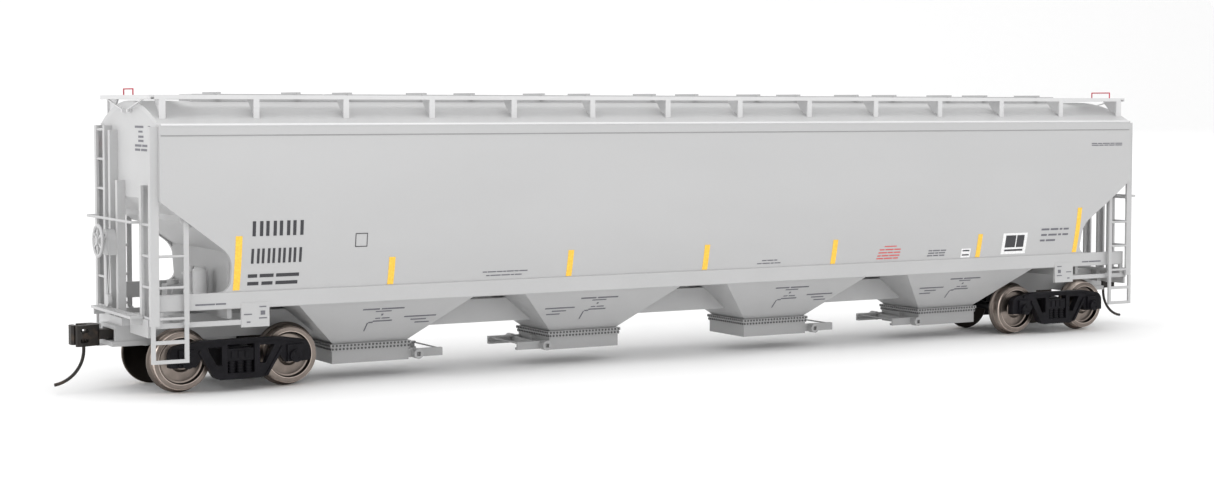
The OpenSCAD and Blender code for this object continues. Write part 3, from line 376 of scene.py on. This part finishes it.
class HopperCarSettings(bpy.types.PropertyGroup):
    """Colours and small sizes that a user may change."""

    body_colour: FloatVectorProperty(name="Body", description="Body paint", subtype="COLOR",
                                     default=(0.47, 0.47, 0.472))
    truck_colour: FloatVectorProperty(name="Trucks", description="Truck plastic", subtype="COLOR",
                                      default=(0.008, 0.0075, 0.0095))
    wheel_colour: FloatVectorProperty(name="Wheels", description="Wheel metal", subtype="COLOR",
                                      default=(0.46, 0.39, 0.345))
    tape_colour: FloatVectorProperty(name="Reflectors", description="Reflective tape", subtype="COLOR",
                                     default=(0.93, 0.56, 0.06))
    ink_colour: FloatVectorProperty(name="Ink", description="Printed markings", subtype="COLOR",
                                    default=(0.035, 0.035, 0.04))
    warning_colour: FloatVectorProperty(name="Red ink", description="Red markings", subtype="COLOR",
                                        default=(0.62, 0.09, 0.09))
    tape_width: FloatProperty(name="Tape width", description="Width of a reflector", unit="LENGTH",
                              default=1.25 * MM)
    bolt_size: FloatProperty(name="Bolt size", description="Width of a flange bolt's head", unit="LENGTH",
                             default=0.46 * MM)
    bolt_pitch: FloatProperty(name="Bolt pitch", description="Distance between flange bolts", unit="LENGTH",
                              default=0.74 * MM)


def settings():
    return bpy.context.scene.hopper_car


PALETTE = {}


def finish(slot):
    """The material of a slot, made the first time it is asked for."""
    look = settings()
    makers = {
        "body_grey": lambda: grey_paint("Body grey", look.body_colour),
        "truck_black": lambda: moulded_black("Truck black", look.truck_colour),
        "axle_black": lambda: moulded_black("Axle black", tinted(look.truck_colour, 0.7)),
        "coupler_black": lambda: cast_black("Coupler black", (0.026, 0.023, 0.021)),
        "spring_bronze": lambda: drawn_metal("Spring bronze", (0.72, 0.45, 0.18), 0.3),
        "screw_steel": lambda: drawn_metal("Screw steel", (0.5, 0.5, 0.5), 0.35),
        "grab_red": lambda: printed_ink("Grab red", (0.5, 0.03, 0.06), 0.4),
        "tape_yellow": lambda: printed_ink("Tape yellow", look.tape_colour, 0.38),
        "ink_dark": lambda: printed_ink("Ink dark", look.ink_colour),
        "ink_fine": lambda: printed_ink("Fine ink", tinted(look.ink_colour, 4)),
        # Painted highlight: the eave bead is much lighter than the body
        "bead_painted_highlight": lambda: grey_paint("Bead painted highlight", tinted(look.body_colour, 1.45)),
        # Painted shadow: the strip under the top chord is much darker than the body
        "painted_shadow_grey": lambda: grey_paint("Painted shadow grey", tinted(look.body_colour, 0.62)),
        # Painted shade: the bolt heads are nearly black, for the shadows round them on the flange
        "bolt_painted_shade": lambda: grey_paint("Bolt painted shade", tinted(look.body_colour, 0.15)),
        "ink_red": lambda: printed_ink("Ink red", look.warning_colour),
        "ink_white": lambda: printed_ink("Ink white", (0.82, 0.82, 0.82)),
    }
    if slot not in PALETTE:
        PALETTE[slot] = makers[slot]()
    return PALETTE[slot]


# ---- Operators ------------------------------------------------------------------------------


class HOPPER_OT_finishes(bpy.types.Operator):
    """Gives every part of the frame its finish"""

    bl_idname = "hopper.finishes"
    bl_label = "Part finishes"

    # Painted light and shade: how much lighter or darker than the body each group of parts is painted, for
    # the light or shade that falls on it
    shade_and_light_factors = {"hopper_bay": 0.95, "outlet_gate": 0.72, "coupler_box": 0.8, "roof_panel": 1.1,
                    "running_board": 1.3, "crossover": 1.25, "side_sill": 0.98, "body_bolster": 0.75,
                    "centre_sill": 1.05, "end_bulkhead": 1.04}
    wheel_from = 4 * MM  # only points farther out than this count towards a wheel's back
    crease = math.radians(32)

    def execute(self, context):
        look = settings()
        sides = sheet_paint("Side sheet grey", look.body_colour)
        # Lit and shaded copies of the body paint, one for each group of parts
        shaded_and_lit_greys = {start: grey_paint(f"Grey {start}", tinted(look.body_colour, factor))
                 for start, factor in self.shade_and_light_factors.items()}
        for name, node in NODES.items():
            slot = SLOTS[name]
            if slot == "wheel_nickel":
                tread = (corners(name)[1].z - corners(name)[0].z) / 2 - RAIL
                ends = [abs((node.matrix_world @ v.co).y) for v in node.data.vertices]
                back = min(e for e in ends if e > self.wheel_from)
                material = turned_wheel(f"Turned {name}", middle(name), tread, back, look.wheel_colour)
            elif name.startswith("side_panel"):
                material = sides
            elif name.startswith(tuple(shaded_and_lit_greys)):
                material = next(made for start, made in shaded_and_lit_greys.items() if name.startswith(start))
            else:
                material = finish(slot)
            node.data.materials.clear()
            node.data.materials.append(material)
            active(node)
            bpy.ops.object.shade_smooth_by_angle(angle=self.crease)
        return {"FINISHED"}


class HOPPER_OT_reflectors(bpy.types.Operator):
    """Lays the upright reflector tapes along both sides"""

    bl_idname = "hopper.reflectors"
    bl_label = "Reflector tapes"

    # Place along the car, foot and head of each tape above the rail
    tapes = ((-99.3, 18.1, 27.9), (-69.4, 17.95, 23.1), (-31.6, 17.95, 23.1), (-0.2, 17.95, 23.1),
             (31.7, 17.95, 23.1), (70.8, 17.95, 23.1), (98.9, 18.1, 28.3))

    def execute(self, context):
        for word, side in SIDES.items():
            piece = begin(f"reflector_tapes_{word}")
            for x, foot, head in self.tapes:
                upright_patch(-side * x * MM, (foot + head) / 2 * MM + RAIL, settings().tape_width,
                              (head - foot) * MM, side)
            end()
            lay_on(piece, f"side_panel_{word}", side, 7)
            finished(piece, BODY, finish("tape_yellow"))
        return {"FINISHED"}


def line_of_words(x, z, length, height, words, side):
    """A row of short strokes in the place of a line of small print."""
    gap = 0.55  # between two words, counted in letters
    total = sum(words) + gap * (len(words) - 1)
    at = 0.0
    for count in words:
        width = length * count / total
        upright_patch(-side * (x + at + width / 2), z, width, height, side)
        at += width + length * gap / total


class HOPPER_OT_markings(bpy.types.Operator):
    """Prints plain bars and strokes where the sides carry their markings"""

    bl_idname = "hopper.markings"
    bl_label = "Side markings"

    # Left end, height above the rail, length and stroke height of each line, then its words
    lines = ((-97.3, 20.6, 9.7, 0.62, (2, 3, 5)), (-97.3, 19.2, 9.5, 0.62, (2, 2, 4)))
    fine_lines = (
        (-50.4, 19.45, 9.6, 0.2, (3, 6, 4, 2, 5, 3, 6)), (-49.6, 18.75, 7.6, 0.2, (2, 6, 5, 2, 4)),
        (13.6, 19.3, 3.8, 0.2, (3, 4, 2)), (12.5, 18.7, 5.8, 0.2, (3, 5, 2, 4)),
        (56.9, 19.85, 4.8, 0.24, (2, 4, 3)), (56.9, 19.3, 4.6, 0.24, (4, 2, 4)),
        (56.7, 18.75, 4.7, 0.24, (3, 3, 3)), (88.2, 23.6, 8.0, 0.42, (3, 3, 1, 2)),
        (88.3, 22.35, 7.9, 0.42, (2, 3, 1, 2)), (88.2, 21.1, 4.4, 0.42, (2, 4)),
        (101.9, 42.75, 9.2, 0.2, (4, 3, 5, 3, 5)), (101.9, 42.35, 9.2, 0.2, (5, 3, 3, 4, 5)),
    )
    red_lines = (
        (44.8, 21.2, 3.2, 0.2, (5,)), (43.6, 20.5, 5.6, 0.24, (3, 5, 4)), (43.4, 19.85, 5.8, 0.24, (5, 3, 4)),
        (43.2, 19.2, 5.9, 0.24, (2, 4, 6)), (43.1, 18.6, 5.7, 0.24, (4, 5, 3)),
    )

    # Left end, height above the rail, number of pairs and length of each row of upright bars
    bar_rows = ((-97.1, 29.15, 4, 10.2), (-97.1, 24.2, 5, 10.0))
    bar_height = 2.7
    # A bar's width and its distance from the middle of its pair, as shares of the pairs' pitch
    bar_share, bar_apart = 0.24, 0.27

    # Middle along the car, middle above the rail, width and height of each rectangle
    open_square = ((-75.8, 27.7, 2.4, 0.14), (-75.8, 25.3, 2.4, 0.14), (-76.93, 26.5, 0.14, 2.4),
                   (-74.67, 26.5, 0.14, 2.4))
    placard_grounds = ((80.8, 20.7, 7.0, 4.7), (67.3, 19.0, 2.6, 2.0))
    placard_fields = ((79.6, 21.2, 2.9, 2.7), (82.4, 21.2, 2.1, 2.7), (80.8, 19.2, 5.2, 0.4),
                      (67.3, 19.55, 1.9, 0.3), (67.3, 18.6, 1.9, 0.3))

    def bars(self, side):
        """Two rows of upright bars in pairs."""
        for start, z, count, length in self.bar_rows:
            pitch = length / count
            for i in range(count):
                for part in (-self.bar_apart, self.bar_apart):
                    x = start + (i + 0.5 + part) * pitch
                    upright_patch(-side * x * MM, z * MM + RAIL, self.bar_share * pitch * MM,
                                  self.bar_height * MM, side)

    def patches(self, rectangles, side):
        for x, z, width, height in rectangles:
            upright_patch(-side * x * MM, z * MM + RAIL, width * MM, height * MM, side)

    def words(self, rows, side):
        for x, z, length, height, words in rows:
            line_of_words(x * MM, z * MM + RAIL, length * MM, height * MM, words, side)

    def print_on(self, word, cuts, slot, thickness=FILM):
        """Ends the piece in edit mode and lays it on the side panel as ink."""
        piece = end()
        lay_on(piece, f"side_panel_{word}", SIDES[word], cuts, thickness)
        finished(piece, BODY, finish(slot))

    def execute(self, context):
        for word, side in SIDES.items():
            begin(f"side_print_{word}")
            self.bars(side)
            self.words(self.lines, side)
            self.patches(self.open_square, side)
            self.print_on(word, 1, "ink_dark")
            begin(f"small_print_{word}")
            self.words(self.fine_lines, side)
            self.print_on(word, 1, "ink_fine")
            begin(f"placard_ground_{word}")
            self.patches(self.placard_grounds, side)
            self.print_on(word, 3, "ink_white", 0.02 * MM)
            begin(f"placard_fields_{word}")
            self.patches(self.placard_fields, side)
            self.print_on(word, 2, "ink_dark", 0.07 * MM)
            begin(f"red_print_{word}")
            self.words(self.red_lines, side)
            self.print_on(word, 1, "ink_red")
        return {"FINISHED"}


class HOPPER_OT_stencils(bpy.types.Operator):
    """Prints plain strokes on the bays, the sills' bands and plates, and the end sheets"""

    bl_idname = "hopper.stencils"
    bl_label = "Bay and sill stencils"

    # Each stroke's middle from the bay's middle, its height above the rail, its length and its thickness
    bay_strokes = ((-2.7, 13.2, 3.4, 0.26), (1.7, 13.2, 4.6, 0.26), (0.0, 12.7, 3.2, 0.2),
                   (0.0, 12.0, 0.4, 0.36), (-0.6, 11.25, 1.0, 0.2), (1.0, 11.25, 1.6, 0.2),
                   (0.6, 10.68, 3.9, 0.24), (-1.7, 10.45, 0.9, 0.24), (-2.3, 9.5, 0.24, 1.7))
    note_strokes = ((8.1, 11.3, 6.6, 0.24), (8.0, 10.65, 3.2, 0.22), (9.0, 10.0, 3.0, 0.22))
    # Distance from the car's middle towards either end, height, length and thickness, on plates and bands
    plate_strokes = ((94.4, 15.0, 1.3, 0.2), (94.4, 13.9, 0.85, 0.75), (94.4, 12.95, 1.5, 0.2),
                     (97.2, 13.7, 1.5, 0.2), (97.1, 12.3, 0.7, 0.25))
    band_strokes = ((105.1, 15.8, 3.6, 0.28), (102.2, 15.8, 1.9, 0.28))
    # On an end sheet: distance from its middle towards the right of someone facing it, then the same
    end_strokes = ((6.2, 47.3, 5.0, 0.4), (12.0, 47.3, 1.4, 0.4), (7.0, 46.45, 2.4, 0.35),
                   (11.7, 46.45, 1.0, 0.35), (7.2, 45.55, 3.0, 0.4), (12.0, 45.55, 1.4, 0.4),
                   (7.2, 44.8, 3.0, 0.4), (12.0, 44.8, 1.4, 0.4), (5.6, 43.95, 3.8, 0.42),
                   (10.1, 43.95, 4.2, 0.42), (5.2, 43.2, 3.0, 0.42), (9.0, 43.2, 3.4, 0.42))
    end_red_strokes = ((-11.2, 44.0, 3.4, 0.36), (-15.2, 44.0, 3.2, 0.36))
    end_film = 0.06 * MM  # centred on the end sheet's outermost face

    def execute(self, context):
        fine = finish("ink_fine")
        for word, side in SIDES.items():
            for i in BAYS:
                stencil = begin(f"bay_stencil_{word}_{i}")
                hand = 1 if i % 2 else -1
                strokes = self.bay_strokes + tuple((hand * x, z, w, h) for x, z, w, h in self.note_strokes)
                for x, z, w, h in strokes:
                    upright_patch(gate_x(i) - side * x * MM, z * MM + RAIL, w * MM, h * MM, side)
                end()
                lay_on(stencil, f"hopper_bay_{i}", side, 1)
                finished(stencil, BODY, fine)
            sill = begin(f"sill_print_{word}")
            for end_sign in (-1, 1):
                for x, z, w, h in self.plate_strokes + self.band_strokes:
                    upright_patch(end_sign * x * MM, z * MM + RAIL, w * MM, h * MM, side)
            end()
            lay_on(sill, f"side_sill_{word}", side, 0)
            finished(sill, BODY, fine)
        for letter, end_sign in (("b", -1), ("a", 1)):
            low, high = corners(f"end_bulkhead_{letter}")
            face = low.x if end_sign < 0 else high.x
            for kind, strokes, ink in (("print", self.end_strokes, fine),
                                       ("red_print", self.end_red_strokes, finish("ink_red"))):
                sheet = begin(f"end_{kind}_{letter}")
                for y, z, w, h in strokes:
                    bpy.ops.mesh.primitive_cube_add(size=1, location=(face, end_sign * y * MM, z * MM + RAIL),
                                                    scale=(self.end_film, w * MM, h * MM))
                end()
                finished(sheet, BODY, ink)
        return {"FINISHED"}


class HOPPER_OT_gate_bolts(bpy.types.Operator):
    """Sets the two rows of bolts round every outlet flange"""

    bl_idname = "hopper.gate_bolts"
    bl_label = "Outlet flange bolts"

    # Depth of each ring of bolts below the flange's top, and how far it is set in from the flange's edge
    rings = ((0.28, 0.0), (0.95, 0.2))
    head_height = 0.3 * MM
    head_bevel = 0.05 * MM
    corner_gap = 0.4 * MM  # least distance from a bolt's middle to the end of its edge

    def bolt_row(self, start, step, count, turn):
        """Adds one bolt head and repeats it along a row."""
        bpy.ops.mesh.primitive_cylinder_add(vertices=6, radius=settings().bolt_size / 2,
                                            depth=self.head_height, location=start, rotation=turn,
                                            end_fill_type="NGON")
        head = bpy.context.object
        bpy.ops.object.transform_apply(location=True, rotation=True, scale=True)
        apply(head, "BEVEL", width=self.head_bevel, segments=1, limit_method="ANGLE",
              angle_limit=math.radians(50))
        apply(head, "ARRAY", count=count, use_relative_offset=False, use_constant_offset=True,
              constant_offset_displace=step)
        return head

    def spread(self, half):
        """Number of bolts along an edge of this half length, and where the first one stands."""
        pitch = settings().bolt_pitch
        count = int(2 * (half - self.corner_gap) / pitch) + 1
        return count, -(count - 1) / 2 * pitch

    def execute(self, context):
        pitch = settings().bolt_pitch
        for i in BAYS:
            half_l, half_w, top = flange_size(i)
            rows = []
            deselect()
            for drop, inset in self.rings:
                z = top - drop * MM
                for side in (-1, 1):
                    count, first = self.spread(half_l)
                    start = (gate_x(i) + first, side * (half_w - inset * MM), z)
                    rows.append(self.bolt_row(start, (pitch, 0, 0), count, (math.pi / 2, 0, 0)))
                    count, first = self.spread(half_w)
                    start = (gate_x(i) + side * (half_l - inset * MM), first, z)
                    rows.append(self.bolt_row(start, (0, pitch, 0), count, (0, math.pi / 2, 0)))
            deselect()
            for row in rows:
                row.select_set(True)
            bpy.context.view_layer.objects.active = rows[0]
            bpy.ops.object.join()
            piece = bpy.context.object
            piece.name = piece.data.name = f"flange_bolts_{i}"
            # The bolts take the nearly black grey that is painted as the shade round their heads
            finished(piece, BODY, finish("bolt_painted_shade"))
        return {"FINISHED"}


def gate_x(i):
    """Middle of a bay's outlet along the car."""
    return (i - sum(BAYS) / len(BAYS)) * (middle("hopper_bay_3").x - middle("hopper_bay_2").x)


def flange_size(i):
    """Half length, half width and top height of an outlet's flange, read from its top face."""
    node = NODES[f"outlet_gate_{i}"]
    top = corners(f"outlet_gate_{i}")[1].z
    points = [node.matrix_world @ v.co for v in node.data.vertices]
    rim = [p for p in points if p.z > top - 0.1 * MM]
    return max(abs(p.x - gate_x(i)) for p in rim), max(abs(p.y) for p in rim), top


class HOPPER_OT_eaves(bpy.types.Operator):
    """Runs a bead painted as a highlight along each eave and a strip painted as shadow below each top chord
    """

    bl_idname = "hopper.eaves"
    bl_label = "Eave highlight beads and chord shadow lines"

    # Height of the bead's middle and of the painted shadow line below the chord, above the rail
    bead_z, seam_z = 47.75, 45.82
    bead_radius = 0.2 * MM
    bead_sunk = 0.04 * MM
    bead_bevel = 0.04 * MM
    shadow_line_height = 0.2 * MM
    end_gaps = 0.6 * MM  # of both ends together
    near = 0.4 * MM  # how close to a height a point has to be to count

    def execute(self, context):
        for word, side in SIDES.items():
            low, high = corners(f"side_panel_{word}")
            length = high.x - low.x - self.end_gaps
            eave_y = self.half_width(word, self.bead_z * MM + RAIL)
            # A thin rod painted much lighter than the body, as a highlight along the eave
            bead = begin(f"eave_highlight_bead_{word}")
            place = (0, side * (eave_y - self.bead_sunk), self.bead_z * MM + RAIL)
            bpy.ops.mesh.primitive_cylinder_add(vertices=20, radius=self.bead_radius, depth=length,
                                                location=place, rotation=(0, math.pi / 2, 0))
            end()
            apply(bead, "BEVEL", width=self.bead_bevel, segments=2, limit_method="ANGLE",
                  angle_limit=math.radians(50))
            finished(bead, BODY, finish("bead_painted_highlight"))
            active(bead)
            bpy.ops.object.shade_smooth_by_angle(angle=math.radians(40))
            # A dark strip painted as the shadow below the top chord
            seam = begin(f"chord_shadow_line_{word}")
            upright_patch(0, self.seam_z * MM + RAIL, length, self.shadow_line_height, side)
            end()
            lay_on(seam, f"side_panel_{word}", side, 0)
            finished(seam, BODY, finish("painted_shadow_grey"))
        return {"FINISHED"}

    def half_width(self, word, height):
        """How far out the side panel reaches near a height."""
        node = NODES[f"side_panel_{word}"]
        points = [node.matrix_world @ v.co for v in node.data.vertices]
        return max(abs(p.y) for p in points if abs(p.z - height) < self.near)


class HOPPER_OT_truck_backing(bpy.types.Operator):
    """Moulds the web behind each spring group and the brake beams beside each bolster"""

    bl_idname = "hopper.truck_backing"
    bl_label = "Truck webs and beams"

    # A web reaches from just below the spring seats to the middle of the bolster's height
    seat_z = RAIL + 2.6 * MM
    web_inset = 1.3 * MM  # from the bolster's end
    web_length, web_thickness = 5.3 * MM, 0.3 * MM
    # A beam stands beside the bolster and is shorter than it
    beam_z = RAIL + 5.4 * MM
    beam_gap = 0.5 * MM
    beam_thickness, beam_depth = 0.5 * MM, 3.4 * MM
    beam_shorter = 4.2 * MM
    bevel = 0.08 * MM

    def block(self, place, size):
        bpy.ops.mesh.primitive_cube_add(size=1, location=place, scale=size)

    def execute(self, context):
        for letter in "ba":
            low, high = corners(f"truck_bolster_{letter}")
            bolster = middle(f"truck_bolster_{letter}")
            piece = begin(f"truck_backing_{letter}")
            for side in (-1, 1):
                # Web behind the springs
                self.block((bolster.x, side * (high.y - self.web_inset), (self.seat_z + bolster.z) / 2),
                           (self.web_length, self.web_thickness, bolster.z - self.seat_z))
                # Beam across the truck
                beam_x = bolster.x + side * ((high.x - low.x) / 2 + self.beam_gap)
                self.block((beam_x, 0, self.beam_z),
                           (self.beam_thickness, 2 * high.y - self.beam_shorter, self.beam_depth))
            end()
            apply(piece, "BEVEL", width=self.bevel, segments=2, limit_method="ANGLE",
                  angle_limit=math.radians(50))
            finished(piece, f"truck_{letter}", finish("truck_black"))
        return {"FINISHED"}


class HOPPER_OT_stage(bpy.types.Operator):
    """Lays the floor and sets the lights and the camera"""

    bl_idname = "hopper.stage"
    bl_label = "Floor, lights and camera"

    # Name, place, point aimed at, size in metres and power in watts
    lights = (
        ("top_softbox", (-0.1, -0.2, 0.8), (0, 0, 0.03), (1.3, 0.8), 2.0),
        ("front_softbox", (-0.15, -1.0, 0.4), (0, 0, 0.03), (1.4, 0.6), 1.9),
        ("end_softbox", (-1.0, -0.1, 0.3), (-0.1, 0, 0.03), (0.7, 0.6), 2.2),
        ("backdrop_light", (0.6, 0.9, 2.2), (1.4, 4.0, 0.5), (3.0, 1.4), 20.0),
    )

    # Floor's width, where its back edge meets the curve, the curve's radius and the wall above it, in metres
    floor_size = 8
    curve_at, curve_radius = 3.0, 1.0
    wall_height = 3

    # Camera: place in metres, its height above the rail, turns in degrees, lens and sensor in millimetres
    camera_place = (-0.226163, -0.372968, 0.051248)
    camera_turns = (30.5047, -2.8817, 0.0724)
    lens, sensor = 61.90, 36
    shift = (-0.02624, -0.02769)

    def area_light(self, name, place, aim, size, power):
        deselect()
        bpy.ops.object.light_add(type="AREA", location=place)
        lamp = bpy.context.object
        lamp.name = name
        lamp.data.shape = "RECTANGLE"
        lamp.data.size, lamp.data.size_y = size
        lamp.data.energy = power
        lamp.rotation_mode = "QUATERNION"
        lamp.rotation_quaternion = (Vector(aim) - Vector(place)).to_track_quat("-Z", "Y")

    def sweep(self):
        """Floor that curves up into a backdrop behind the car."""
        deselect()
        bpy.ops.mesh.primitive_plane_add(size=self.floor_size, location=(0, 0, 0))
        floor = bpy.context.object
        floor.name = "studio_sweep"
        bpy.ops.object.transform_apply(location=True, rotation=True, scale=True)
        bpy.ops.object.mode_set(mode="EDIT")
        bpy.ops.mesh.select_all(action="DESELECT")
        bpy.ops.object.mode_set(mode="OBJECT")
        for edge in floor.data.edges:
            edge.select = all(floor.data.vertices[v].co.y > 0 for v in edge.vertices)
        bpy.ops.object.mode_set(mode="EDIT")
        bpy.ops.transform.translate(value=(0, self.curve_at - self.floor_size / 2, 0))
        bpy.ops.mesh.spin(steps=16, angle=-math.pi / 2, center=(0, self.curve_at, self.curve_radius),
                          axis=(1, 0, 0))
        bpy.ops.mesh.extrude_edges_move(TRANSFORM_OT_translate={"value": (0, 0, self.wall_height)})
        bpy.ops.object.mode_set(mode="OBJECT")
        bpy.ops.object.shade_smooth()
        floor.data.materials.append(pale_floor("Studio floor", (0.92, 0.92, 0.92)))

    def execute(self, context):
        self.sweep()
        for light in self.lights:
            self.area_light(*light)
        world = bpy.data.worlds.new("Studio")
        world.use_nodes = True
        world.node_tree.nodes["Background"].inputs["Color"].default_value = (1, 1, 1, 1)
        world.node_tree.nodes["Background"].inputs["Strength"].default_value = 1.0
        context.scene.world = world
        context.scene.view_settings.view_transform = "Standard"
        self.camera(context)
        return {"FINISHED"}

    def camera(self, context):
        """Sets a low camera off the brake end's near corner, turned towards the other end."""
        yaw, pitch, roll = (math.radians(turn) for turn in self.camera_turns)
        forward = Vector((math.sin(yaw) * math.cos(pitch), math.cos(yaw) * math.cos(pitch), math.sin(pitch)))
        level = Vector((math.cos(yaw), -math.sin(yaw), 0))
        upright = level.cross(forward)
        right = level * math.cos(roll) + upright * math.sin(roll)
        up = upright * math.cos(roll) - level * math.sin(roll)
        deselect()
        bpy.ops.object.camera_add()
        camera = context.object
        camera.name = "studio_camera"
        x, y, z = self.camera_place
        turned = Matrix((right, up, -forward)).transposed().to_4x4()
        camera.matrix_world = Matrix.Translation((x, y, z + RAIL)) @ turned
        camera.data.sensor_width = self.sensor
        camera.data.lens = self.lens
        camera.data.shift_x, camera.data.shift_y = self.shift
        camera.data.clip_start, camera.data.clip_end = 0.01, 20
        context.scene.camera = camera


class VIEW3D_PT_hopper_car(bpy.types.Panel):
    """Lists the steps and the settings"""

    bl_label = "Hopper Car"
    bl_space_type = "VIEW_3D"
    bl_region_type = "UI"
    bl_category = "Hopper Car"

    def draw(self, context):
        for name in HopperCarSettings.__annotations__:
            self.layout.prop(context.scene.hopper_car, name)
        for step in STEPS:
            self.layout.operator(step.bl_idname)


STEPS = (HOPPER_OT_finishes, HOPPER_OT_reflectors, HOPPER_OT_markings, HOPPER_OT_stencils,
         HOPPER_OT_gate_bolts, HOPPER_OT_eaves, HOPPER_OT_truck_backing, HOPPER_OT_stage)


def register():
    for item in (HopperCarSettings, *STEPS, VIEW3D_PT_hopper_car):
        bpy.utils.register_class(item)
    bpy.types.Scene.hopper_car = PointerProperty(type=HopperCarSettings)


def unregister():
    del bpy.types.Scene.hopper_car
    for item in (VIEW3D_PT_hopper_car, *reversed(STEPS), HopperCarSettings):
        bpy.utils.unregister_class(item)


def main():
    register()
    for step in STEPS:
        group, name = step.bl_idname.split(".")
        getattr(getattr(bpy.ops, group), name)()


if __name__ == "__main__":
    main()
